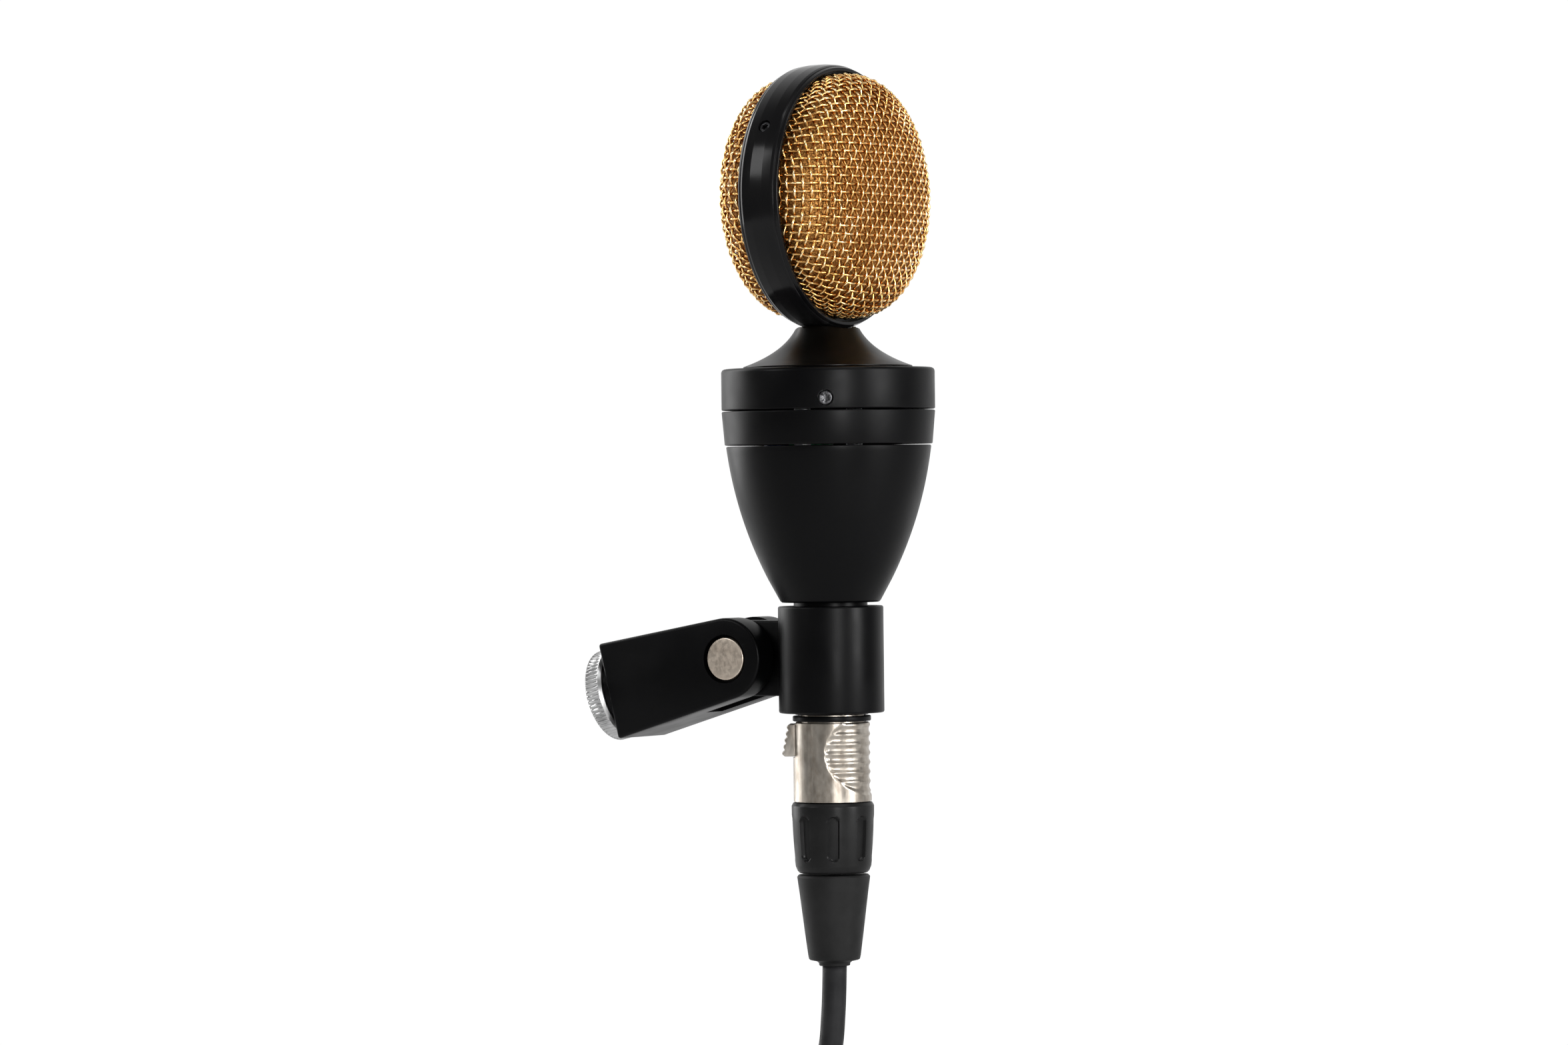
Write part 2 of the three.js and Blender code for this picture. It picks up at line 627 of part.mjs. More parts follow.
function threadAdapter() {
  const inner = STAND_FACE - ADAPTER_LENGTH;
  return turned([
    [0, inner],
    [ADAPTER_RADIUS, inner],
    [ADAPTER_RADIUS, STAND_FACE],
    [ADAPTER_BORE_RADIUS, STAND_FACE],
    [ADAPTER_BORE_RADIUS, STAND_FACE - ADAPTER_BORE_DEPTH],
    [0, STAND_FACE - ADAPTER_BORE_DEPTH],
  ], 32).rotate([-90, 0, 0]);
}

function lockRing() {
  const from = FORK_LENGTH + BOSS_LENGTH + GAP;
  const to = from + LOCK_RING_WIDTH;
  const bevel = 0.6;
  return turned([
    [ADAPTER_RADIUS + GAP, from],
    [LOCK_RING_RADIUS - bevel, from],
    [LOCK_RING_RADIUS, from + bevel],
    [LOCK_RING_RADIUS, to - bevel],
    [LOCK_RING_RADIUS - bevel, to],
    [ADAPTER_RADIUS + GAP, to],
  ], 36).rotate([-90, 0, 0]);
}

function mountPieces() {
  return [
    meshOf('fork', fork(), BLACK_PAINT),
    meshOf('pivot_bolt', pivotBolt(), NICKEL),
    meshOf('pivot_knob', pivotKnob(), BLACK_PLASTIC),
    meshOf('friction_washer_left', washer(-1), FIBRE),
    meshOf('friction_washer_right', washer(1), FIBRE),
    meshOf('thread_adapter', threadAdapter(), CHROME),
    meshOf('lock_ring', lockRing(), CHROME),
  ];
}

// ---------------------------------------------------------------- plug

function latchFrame(body) {
  return body.rotate([0, 0, LATCH_ANGLE]);
}

function plugShell() {
  const chamfer = 0.5;
  const shell = turned([
    [PLUG_BORE, NOSE_TOP],
    [NOSE_RADIUS, NOSE_TOP],
    [NOSE_RADIUS, PLUG_TOP],
    [PLUG_RADIUS - chamfer, PLUG_TOP],
    [PLUG_RADIUS, PLUG_TOP - chamfer],
    [PLUG_RADIUS, PLUG_BOTTOM],
    [PLUG_BORE, PLUG_BOTTOM],
  ], 32);
  const half = LATCH_HALF_WIDTH + GAP;
  return shell.subtract(latchFrame(box([6, 14], [-half, half], [LATCH_BOTTOM - GAP, PLUG_TOP + GAP])));
}

// The press tab: its outer face carries ridges and stands out further at the foot.
function plugLatch() {
  const outline = new THREE.Shape();
  const ridges = 5;
  const height = LATCH_TOP - LATCH_BOTTOM;
  outline.moveTo(LATCH_INNER, LATCH_BOTTOM);
  outline.lineTo(LATCH_OUTER - 0.5, LATCH_BOTTOM);
  for (let ridge = 0; ridge < ridges; ridge += 1) {
    const base = LATCH_BOTTOM + (height * ridge) / ridges;
    const reach = LATCH_OUTER - 0.3 * ridge;
    outline.lineTo(reach, base + height / ridges * 0.35);
    outline.lineTo(reach, base + height / ridges * 0.65);
    outline.lineTo(reach - 0.7, base + height / ridges);
  }
  outline.lineTo(LATCH_INNER, LATCH_TOP);
  outline.closePath();
  const profile = slab(outline, -LATCH_HALF_WIDTH, LATCH_HALF_WIDTH, 4).rotate([0, 0, -90]);
  return latchFrame(profile);
}

function plugInsert() {
  let insert = rod(INSERT_RADIUS, -29, NOSE_TOP - GAP, 24);
  for (const index of PIN_ANGLES.keys()) {
    insert = insert.subtract(atPin(rod(PIN_RADIUS + GAP, -16, 0, 10), index));
  }
  return insert;
}

// The slotted end nut of a plug, then its tapered rubber relief. top is the nut's upper edge.
function plugBoot(top) {
  const length = BOOT_TOP - BOOT_BOTTOM;
  return turned([
    [4, top + 3.5],
    [PLUG_BORE - GAP, top + 3.5],
    [PLUG_BORE - GAP, top],
    [9.6, top],
    [10.05, top - 0.8],
    [9.9, top - 4],
    [8.9, top - length + 0.6],
    [8.4, top - length],
    [4, top - length],
  ], 28);
}

function strainRelief(top) {
  const length = RELIEF_TOP - RELIEF_BOTTOM;
  return turned([
    [0, top],
    [8.5, top],
    [8.9, top - 0.5],
    [6.4, top - length + 2.2],
    [5.7, top - length + 1.4],
    [4.0, top - length + 1.4],
    [3.8, top - length],
    [0, top - length],
  ], 28);
}

function plugPieces() {
  return [
    meshOf('plug_shell', plugShell(), NICKEL),
    meshOf('plug_latch', plugLatch(), NICKEL),
    meshOf('plug_insert', plugInsert(), BLACK_PLASTIC),
    meshOf('plug_boot', plugBoot(BOOT_TOP), BLACK_PLASTIC),
    meshOf('strain_relief', strainRelief(RELIEF_TOP), BLACK_RUBBER),
  ];
}

// ---------------------------------------------------------------- cable, hank and far plug

function cableHank() {
  const back = HANK_Y + (HANK_LAYERS / 2 + 1) * TURN_PITCH;
  const front = HANK_Y - (HANK_LAYERS / 2) * TURN_PITCH;
  const geometry = new THREE.ExtrudeGeometry(stadium(HANK_OUTER_RADIUS, HANK_STRAIGHT / 2), {
    depth: back - front,
    bevelEnabled: false,
    curveSegments: 12,
  });
  geometry.rotateX(Math.PI / 2);
  geometry.translate(0, back, HANK_CENTRE);
  return solid(geometry);
}

// A strap round the middle of the hank and the tail beside it.
function hankTie() {
  const left = -HANK_OUTER_RADIUS - GAP;
  const right = TAIL_X + CABLE_RADIUS + 0.9;
  const front = HANK_Y - (HANK_LAYERS / 2) * TURN_PITCH - GAP;
  const back = HANK_Y + (HANK_LAYERS / 2 + 1) * TURN_PITCH + GAP;
  const z = [HANK_CENTRE - TIE_HALF_HEIGHT, HANK_CENTRE + TIE_HALF_HEIGHT];
  const wide = TIE_THICKNESS;
  return box([left - wide, right + wide], [front - wide, back + wide], z)
    .subtract(box([left, right], [front, back], [z[0] - 1, z[1] + 1]));
}

// The far plug hangs nose down, so its nut and relief are turned over.
function turnedOver(body, height) {
  return body.rotate([180, 0, 0]).translate([END_PLUG_X, TAIL_Y, height]);
}

function endPlugPieces() {
  const reliefLength = RELIEF_TOP - RELIEF_BOTTOM;
  const bootLength = BOOT_TOP - BOOT_BOTTOM;
  const reliefBottom = END_RELIEF_TOP - reliefLength;
  const bootBottom = reliefBottom - 0.5 - bootLength;
  const shellTop = bootBottom - GAP;
  const shellBottom = shellTop - END_SHELL_LENGTH;
  const at = (body) => body.translate([END_PLUG_X, TAIL_Y, 0]);
  const shell = turned([
    [PLUG_BORE, shellTop],
    [PLUG_BORE, shellTop - 10],
    [8.0, shellTop - 10],
    [8.0, shellBottom],
    [PLUG_RADIUS - 0.4, shellBottom],
    [PLUG_RADIUS, shellBottom + 0.4],
    [PLUG_RADIUS, shellTop - 0.4],
    [PLUG_RADIUS - 0.4, shellTop],
  ], 32);
  const insertTop = shellTop - 10 - GAP;
  let insert = rod(8.0 - GAP, insertTop - 8, insertTop, 24);
  for (const index of PIN_ANGLES.keys()) {
    insert = insert.subtract(atPin(rod(PIN_RADIUS + GAP, insertTop - 10, insertTop + 2, 10), index));
  }
  const pieces = [
    meshOf('end_plug_relief', turnedOver(strainRelief(0), reliefBottom), BLACK_RUBBER),
    meshOf('end_plug_boot', turnedOver(plugBoot(0), bootBottom), BLACK_PLASTIC),
    meshOf('end_plug_shell', at(shell), NICKEL),
    meshOf('end_plug_insert', at(insert), BLACK_PLASTIC),
  ];
  for (const index of PIN_ANGLES.keys()) {
    const pin = rod(PIN_RADIUS, shellBottom + 5, shellBottom + 5 + END_PIN_LENGTH + 6, 10);
    pieces.push(meshOf(`end_plug_pin_${index + 1}`, at(atPin(pin, index)), CHROME));
  }
  return pieces;
}

function cordPieces() {
  return [
    meshOf('cable_stub', cableAlong(STUB_ROUTE, 3), BLACK_RUBBER),
    meshOf('cable_lead', cableAlong(LEAD_ROUTE, 8), BLACK_RUBBER),
    meshOf('cable_hank', cableHank(), BLACK_RUBBER),
    meshOf('cable_tail', cableAlong(TAIL_ROUTE, 9), BLACK_RUBBER),
    meshOf('hank_tie', hankTie(), HOOK_AND_LOOP),
    ...endPlugPieces(),
  ];
}

// ---------------------------------------------------------------- assembly

const pivot = new THREE.Vector3(
  0,
  -STAND_FACE * Math.cos(MOUNT_SLOPE),
  STAND_FACE * Math.sin(MOUNT_SLOPE),
);

const mount = new THREE.Group();
mount.position.copy(pivot);
mount.rotation.x = -MOUNT_SLOPE;
mount.add(...mountPieces());

const head = new THREE.Group();
head.position.z = HEAD_HEIGHT;
head.add(...headPieces());

const body = new THREE.Group();
body.position.set(0, pivot.y - MIC_TO_PIVOT, pivot.z);
body.add(head, ...bodyPieces(), ...stemPieces(), ...plugPieces(), ...cordPieces());

const microphone = new THREE.Group();
microphone.add(mount, body);

export default microphone;
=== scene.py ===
"""The look of a side-address condenser microphone on its stand mount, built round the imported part.

The row frame is in metres. Each piece is modelled in millimetres in a frame of its own sub-assembly
(BODY, HEAD or MOUNT below) and carried into the row frame when its mesh is made.
"""

import json
import math

import bpy
import numpy as np
from mathutils import Matrix, Vector


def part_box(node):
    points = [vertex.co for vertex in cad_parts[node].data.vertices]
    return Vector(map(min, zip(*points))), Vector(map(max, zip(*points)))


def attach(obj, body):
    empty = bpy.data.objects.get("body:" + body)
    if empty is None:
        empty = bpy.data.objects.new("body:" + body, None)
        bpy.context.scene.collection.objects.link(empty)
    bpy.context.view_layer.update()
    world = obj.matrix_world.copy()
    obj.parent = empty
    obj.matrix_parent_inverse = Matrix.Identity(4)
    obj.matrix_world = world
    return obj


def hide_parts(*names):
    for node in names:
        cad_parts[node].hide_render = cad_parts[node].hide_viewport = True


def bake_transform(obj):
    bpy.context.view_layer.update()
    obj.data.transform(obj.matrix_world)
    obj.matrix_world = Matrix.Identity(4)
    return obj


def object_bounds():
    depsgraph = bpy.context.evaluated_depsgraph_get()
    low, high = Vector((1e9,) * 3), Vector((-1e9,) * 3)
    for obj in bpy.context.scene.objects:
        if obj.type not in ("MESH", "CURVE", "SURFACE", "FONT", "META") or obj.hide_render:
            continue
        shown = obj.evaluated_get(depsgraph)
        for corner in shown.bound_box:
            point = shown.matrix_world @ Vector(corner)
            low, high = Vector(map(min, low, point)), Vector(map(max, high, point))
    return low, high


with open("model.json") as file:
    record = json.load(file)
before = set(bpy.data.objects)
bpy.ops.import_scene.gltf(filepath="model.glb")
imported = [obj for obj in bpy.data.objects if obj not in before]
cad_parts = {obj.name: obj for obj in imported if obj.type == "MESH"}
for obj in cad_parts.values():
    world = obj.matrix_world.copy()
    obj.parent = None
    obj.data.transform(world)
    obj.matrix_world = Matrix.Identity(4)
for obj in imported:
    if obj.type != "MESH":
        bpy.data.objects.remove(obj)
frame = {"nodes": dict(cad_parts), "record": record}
CAD_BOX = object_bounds()

# ---------------------------------------------------------------- places, worked out from the frame

MM = 0.001
MOUNT_SLOPE = math.radians(13.5)


def centre(node):
    low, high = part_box(node)
    return (low + high) / 2


def turned_by(degrees, axis):
    return Matrix.Rotation(math.radians(degrees), 4, axis)


def moved(x, y, z):
    return Matrix.Translation((x, y, z))


PIVOT = Vector((0, centre("pivot_bolt").y, centre("pivot_bolt").z))
MIC_Y = centre("top_cap").y
BODY = moved(0, MIC_Y, PIVOT.z) @ Matrix.Scale(MM, 4)
MOUNT = Matrix.Translation(PIVOT) @ Matrix.Rotation(-MOUNT_SLOPE, 4, "X") @ Matrix.Scale(MM, 4)
HEAD_HEIGHT = (centre("head_ring").z - PIVOT.z) / MM
HEAD = BODY @ moved(0, 0, HEAD_HEIGHT)
MIC_TO_PIVOT = (PIVOT.y - MIC_Y) / MM

FRONT = turned_by(90, "X")  # a turned piece's +Z becomes the head's front, -Y
REAR = turned_by(-90, "X")
ALONG_X = turned_by(90, "Y")

# ---------------------------------------------------------------- mesh helpers


def rounded(outline, closed=True, steps=5):
    """Rounds the corners of an outline. A point is (radius, height) or (radius, height, corner radius)."""
    made = []
    count = len(outline)
    for i, point in enumerate(outline):
        here = Vector(point[:2])
        fillet = point[2] if len(point) > 2 else 0
        if not fillet or (not closed and i in (0, count - 1)):
            made.append(tuple(here))
            continue
        before = Vector(outline[i - 1][:2]) - here
        after = Vector(outline[(i + 1) % count][:2]) - here
        half_angle = before.angle(after) / 2
        reach = fillet / math.tan(half_angle)
        reach = min(reach, 0.49 * before.length, 0.49 * after.length)
        start = here + before.normalized() * reach
        end = here + after.normalized() * reach
        for step in range(steps + 1):
            t = step / steps
            weight = 2 * t * (1 - t) * math.sin(half_angle) + t * t + (1 - t) ** 2
            inner = start * (1 - t) ** 2 + here * (2 * t * (1 - t) * math.sin(half_angle)) + end * t * t
            made.append(tuple(inner / weight))
    return made


def lathe(outline, segments, closed=True, relief=None):
    """Turns an outline about Z. relief(angle, radius, height) gives each point's own radius."""
    points = []
    faces = []
    rings = []
    angles = np.arange(segments) * (2 * math.pi / segments)
    for radius, height in outline:
        start = sum(len(part) for part in points)
        if radius < 1e-6:
            points.append(np.array([[0.0, 0.0, height]]))
            rings.append([start] * segments)
            continue
        radii = np.full(segments, radius)
        if relief is not None:
            radii = relief(angles, radii, np.full(segments, height))
        points.append(np.stack(
            [radii * np.cos(angles), radii * np.sin(angles), np.full(segments, height)], axis=1))
        rings.append(list(range(start, start + segments)))
    pairs = list(zip(rings, rings[1:]))
    if closed:
        pairs.append((rings[-1], rings[0]))
    for low, high in pairs:
        for i in range(segments):
            j = (i + 1) % segments
            corners = [low[i], low[j], high[j], high[i]]
            corners = [c for k, c in enumerate(corners) if c != corners[k - 1]]
            if len(corners) > 2:
                faces.append(corners)
    return outward(np.concatenate(points), faces)


def outward(points, faces):
    """Turns the faces round if the closed surface they make is inside out."""
    volume = 0.0
    for face in faces:
        a = points[face[0]]
        for p, q in zip(face[1:], face[2:]):
            volume += float(np.dot(a, np.cross(points[p], points[q])))
    if volume < 0:
        faces = [face[::-1] for face in faces]
    return points, faces


def extruded(outline, low, high):
    """A plate: an outline in (Y, Z), from x = low to x = high."""
    count = len(outline)
    points = [(low, y, z) for y, z in outline] + [(high, y, z) for y, z in outline]
    faces = [list(range(count))[::-1], list(range(count, 2 * count))]
    for i in range(count):
        j = (i + 1) % count
        faces.append([i, j, count + j, count + i])
    return outward(np.array(points, float), faces)


def block(x, y, z):
    outline = [(y[0], z[0]), (y[1], z[0]), (y[1], z[1]), (y[0], z[1])]
    return extruded(outline, x[0], x[1])


def unit_rows(rows):
    return rows / np.linalg.norm(rows, axis=1)[:, None]


def rings_round(path, across, other, radius, sides):
    """A circle of points round each point of a path, in the plane of two unit directions."""
    angles = np.arange(sides) * (2 * math.pi / sides)
    cosines = np.cos(angles)[None, :, None]
    sines = np.sin(angles)[None, :, None]
    ring = across[:, None, :] * cosines + other[:, None, :] * sines
    return (path[:, None, :] + ring * radius).reshape(-1, 3)


def tube_faces(rings, sides, first=0):
    """The faces of a tube made of rings of points, its two ends included."""
    faces = []
    for i in range(rings - 1):
        low = first + i * sides
        for j in range(sides):
            k = (j + 1) % sides
            faces.append([low + j, low + k, low + sides + k, low + sides + j])
    last = first + (rings - 1) * sides
    faces.append(list(range(first, first + sides))[::-1])
    faces.append(list(range(last, last + sides)))
    return faces


def tube_along(path, radius, sides):
    """A tube round a path that doesn't start along X, with a direction carried along it untwisted."""
    tangents = unit_rows(np.gradient(path, axis=0))
    across = np.zeros_like(path)
    carried = np.array([1.0, 0, 0])
    for i, tangent in enumerate(tangents):
        carried = carried - tangent * np.dot(carried, tangent)
        carried = carried / np.linalg.norm(carried)
        across[i] = carried
    points = rings_round(path, across, np.cross(tangents, across), radius, sides)
    return points, tube_faces(len(path), sides)


def placed(points, where):
    matrix = np.array(where)
    return points @ matrix[:3, :3].T + matrix[:3, 3]


def new_object(name, shape, where):
    points, faces = shape
    mesh = bpy.data.meshes.new(name)
    mesh.from_pydata(placed(points, where).tolist(), [], faces)
    mesh.update()
    made = bpy.data.objects.new(name, mesh)
    bpy.context.scene.collection.objects.link(made)
    return made


def cylinder(radius, low, high, segments, where):
    shape = lathe([(0, low), (radius, low), (radius, high), (0, high)], segments, False)
    return new_object("cutter", shape, where)


def applied(piece):
    """Replaces a piece's mesh with what its modifiers make of it."""
    graph = bpy.context.evaluated_depsgraph_get()
    mesh = bpy.data.meshes.new_from_object(piece.evaluated_get(graph))
    piece.modifiers.clear()
    piece.data = mesh
    return piece


def combined(piece, others, operation):
    """Cuts the others out of a piece, or adds them to it, and removes them."""
    for other in others:
        step = piece.modifiers.new("combine", "BOOLEAN")
        step.operation = operation
        step.solver = "EXACT"
        step.object = other
    applied(piece)
    for other in others:
        bpy.data.objects.remove(other)
    return piece


def bevelled(piece, width, segments=3, angle=40):
    step = piece.modifiers.new("bevel", "BEVEL")
    step.width = width * MM
    step.segments = segments
    step.limit_method = "ANGLE"
    step.angle_limit = math.radians(angle)
    return applied(piece)


def finished(piece, body, slot, nodes=(), sharp=32, look=None):
    """Shades a piece, gives it its material, sets it on its body and hides the nodes it stands for.

    The look is the slot's own unless another is named.
    """
    mesh = piece.data
    mesh.polygons.foreach_set("use_smooth", [True] * len(mesh.polygons))
    mesh.set_sharp_from_angle(angle=math.radians(sharp))
    mesh.materials.clear()
    mesh.materials.append(LOOKS[look or slot])
    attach(piece, body)
    if nodes:
        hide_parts(*nodes)
    return piece


def turned_piece(name, outline, segments, where, body, slot, nodes=(), relief=None, sharp=32, look=None):
    closed = outline[0][0] > 0
    shape = lathe(rounded(outline, closed), segments, closed, relief)
    return finished(new_object(name, shape, where), body, slot, nodes, sharp, look)


# ---------------------------------------------------------------- material helpers


class Look:
    """A principled material with the few node chains that the looks below share."""

    def __init__(self, name, colour, roughness, metallic=0.0, **values):
        self.material = bpy.data.materials.new(name)
        self.material.use_nodes = True
        self.tree = self.material.node_tree
        self.shader = self.tree.nodes["Principled BSDF"]
        self.set("Base Color", (*colour, 1.0))
        self.set("Roughness", roughness)
        self.set("Metallic", metallic)
        for socket, value in values.items():
            self.set(socket.replace("_", " "), value)
        self.last_bump = None
        self.place = self.node("ShaderNodeTexCoord").outputs["Object"]

    def set(self, socket, value):
        self.shader.inputs[socket].default_value = value

    def node(self, kind, **settings):
        made = self.tree.nodes.new(kind)
        for name, value in settings.items():
            setattr(made, name, value)
        return made

    def link(self, source, target):
        self.tree.links.new(source, target)

    def noise(self, size, detail=3.0, stretch=(1, 1, 1), roughness=0.5):
        """Noise whose features are about size millimetres across."""
        mapping = self.node("ShaderNodeMapping")
        mapping.inputs["Scale"].default_value = stretch
        self.link(self.place, mapping.inputs["Vector"])
        made = self.node("ShaderNodeTexNoise")
        made.inputs["Scale"].default_value = 1 / (size * MM)
        made.inputs["Detail"].default_value = detail
        made.inputs["Roughness"].default_value = roughness
        self.link(mapping.outputs["Vector"], made.inputs["Vector"])
        return made.outputs["Fac"]

    def attribute(self, name):
        return self.node("ShaderNodeAttribute", attribute_name=name).outputs["Fac"]

    def spread(self, source, low, high, from_low=0.35, from_high=0.65):
        """Carries a value from one range to another."""
        made = self.node("ShaderNodeMapRange")
        made.inputs["From Min"].default_value = from_low
        made.inputs["From Max"].default_value = from_high
        made.inputs["To Min"].default_value = low
        made.inputs["To Max"].default_value = high
        self.link(source, made.inputs["Value"])
        return made.outputs["Result"]

    def combine(self, operation, a, b):
        made = self.node("ShaderNodeMath", operation=operation)
        for socket, value in zip(made.inputs, (a, b)):
            if isinstance(value, (int, float)):
                socket.default_value = value
            else:
                self.link(value, socket)
        return made.outputs["Value"]

    def colours(self, source, stops):
        """A colour ramp: stops is a list of (position, colour)."""
        made = self.node("ShaderNodeValToRGB")
        elements = made.color_ramp.elements
        for _ in range(len(stops) - 2):
            elements.new(0.5)
        for element, (position, colour) in zip(elements, stops):
            element.position = position
            element.color = (*colour, 1.0)
        self.link(source, made.inputs["Fac"])
        return made.outputs["Color"]

    def paint(self, socket, source):
        self.link(source, self.shader.inputs[socket])
        return self

    def bump(self, height, depth, strength=1.0):
        """Bump of the given depth in millimetres, on top of any bump made before."""
        made = self.node("ShaderNodeBump")
        made.inputs["Strength"].default_value = strength
        made.inputs["Distance"].default_value = depth * MM
        self.link(height, made.inputs["Height"])
        if self.last_bump is not None:
            self.link(self.last_bump, made.inputs["Normal"])
        self.link(made.outputs["Normal"], self.shader.inputs["Normal"])
        self.last_bump = made.outputs["Normal"]
        return self


# ---------------------------------------------------------------- materials


def gold_wire():
    """Bright drawn wire, with painted shade, browner, where it dips under its neighbours and on its inner
    side, and a painted highlight along its crests.
    """
    look = Look("gold_wire", (0.8, 0.5, 0.2), 0.27, 1.0)
    # Each point's height on the weave sets its colour: painted shade where it is low, a painted highlight
    # where it is highest, with random patches of tone on top.
    lift_and_shade = look.attribute("lift_and_shade")
    patch = look.noise(7, 2.0)
    shade = look.combine("ADD", look.spread(lift_and_shade, 0.0, 0.85, 0.0, 1.0), look.spread(patch, -0.1, 0.15))
    look.paint("Base Color", look.colours(shade, [
        (0.0, (0.24, 0.09, 0.018)),
        (0.42, (0.52, 0.24, 0.058)),
        (0.68, (0.9, 0.53, 0.18)),
        (0.88, (1.0, 0.78, 0.44)),
    ]))
    look.paint("Roughness", look.spread(look.noise(0.8, 2.0), 0.16, 0.28))
    return look.bump(look.noise(0.12, 2.0), 0.01, 0.5)


def fine_mesh():
    """The fine inner mesh, as dark cells between brighter wires, 0.42 mm apart; the dark of the cells is
    painted shade for its openings.
    """
    look = Look("fine_mesh", (0.3, 0.14, 0.04), 0.45, 0.9)
    weave = look.node("ShaderNodeTexVoronoi", feature="F1")
    weave.inputs["Scale"].default_value = 1 / (0.42 * MM)
    look.link(look.place, weave.inputs["Vector"])
    # The dark end of this ramp is painted shade, standing for the shade in the mesh's openings.
    look.paint("Base Color", look.colours(weave.outputs["Distance"], [
        (0.0, (0.62, 0.33, 0.1)),
        (0.45, (0.4, 0.185, 0.045)),
        (0.9, (0.09, 0.035, 0.008)),
    ]))
    return look.bump(weave.outputs["Distance"], -0.12)


def finish(name, low, high, patches, dull, wear, bump, grain, metallic=0.0, **values):
    """A finish that runs between two colours in patches, unevenly dull and with a fine grain.

    patches, wear and grain are what noise() takes. dull is the least and the most roughness, and bump is
    the grain's depth in millimetres and its strength.
    """
    look = Look(name, low, dull[0], metallic, **values)
    look.paint("Base Color", look.colours(look.noise(*patches), [(0.3, low), (0.7, high)]))
    look.paint("Roughness", look.spread(look.noise(*wear), *dull))
    return look.bump(look.noise(*grain), *bump)


GRAINY = (0.02, 0.5)  # the bump of moulded and lacquered pieces


def black_paint(name, low, high, patches, dull, wear, bump, grain, shine):
    """Black paint or lacquer. shine is how strongly its surface reflects."""
    return finish(name, low, high, (patches, 2.0), dull, (wear, 3.0), bump, grain, Specular_IOR_Level=shine)


def nickel():
    """Warm nickel plating, a little tarnished and drawn lengthwise."""
    look = Look("nickel", (0.62, 0.58, 0.53), 0.3, 1.0)
    stain = look.noise(3.2, 4.0, (1, 1, 0.6), 0.6)
    look.paint("Base Color", look.colours(stain, [
        (0.28, (0.27, 0.23, 0.19)),
        (0.5, (0.4, 0.36, 0.31)),
        (0.72, (0.5, 0.465, 0.415)),
    ]))
    look.paint("Roughness", look.spread(look.noise(1.6, 4.0, (1, 1, 0.4)), 0.28, 0.42))
    return look.bump(look.noise(0.35, 3.0, (1, 1, 0.08)), 0.005, 0.5)


def moulded_black(name, tone, roughness, grain):
    """Moulded plastic or rubber: a fine grain and dull, uneven patches."""
    low = (tone * 0.8, tone * 0.8, tone * 0.8)
    high = (tone * 1.25, tone * 1.25, tone * 1.27)
    dull = (roughness - 0.06, roughness + 0.08)
    return finish(name, low, high, (5, 4.0), dull, (6, 3.0), GRAINY, (grain, 2.0), Specular_IOR_Level=0.14)


def jacket():
    """The cable's jacket: smooth, matte and very slightly uneven from the cores twisted inside."""
    low, high = (0.011, 0.011, 0.012), (0.019, 0.019, 0.02)
    look = finish("cable_jacket", low, high, (6, 3.0), (0.44, 0.58), (4, 3.0), GRAINY, (0.6, 2.0),
                  Specular_IOR_Level=0.14)
    return look.bump(look.noise(7, 1.0), 0.08, 0.5)


def hook_and_loop():
    """Napped strap fabric: short fuzzy loops."""
    look = Look("hook_and_loop", (0.02, 0.02, 0.022), 0.95, 0.0, Sheen_Weight=0.5, Sheen_Roughness=0.5)
    fuzz = look.noise(0.35, 4.0, (1, 1, 1), 0.7)
    look.paint("Base Color", look.colours(fuzz, [
        (0.3, (0.01, 0.01, 0.011)),
        (0.7, (0.045, 0.045, 0.05)),
    ]))
    return look.bump(fuzz, 0.25, 0.9).bump(look.noise(1.4, 2.0), 0.2, 0.5)


def worn_metal(name, low, high, roughness, grain=(1, 1, 1)):
    """Machined or drawn metal with a grain along one direction."""
    dull = (roughness - 0.06, roughness + 0.1)
    patches, wear, scratches = (2.0, 3.0, grain), (1.0, 3.0, grain), (0.25, 2.0, grain)
    return finish(name, low, high, patches, dull, wear, (0.01, 0.5), scratches, 1.0)


def flat_board(name, low, high, roughness):
    """Lacquered board, moulded insulator or pressed fibre."""
    dull = (roughness - 0.05, roughness + 0.08)
    return finish(name, low, high, (1.5, 4.0), dull, (3.0, 2.0), GRAINY, (0.3, 3.0))


def grey(tone):
    return (tone, tone, tone)


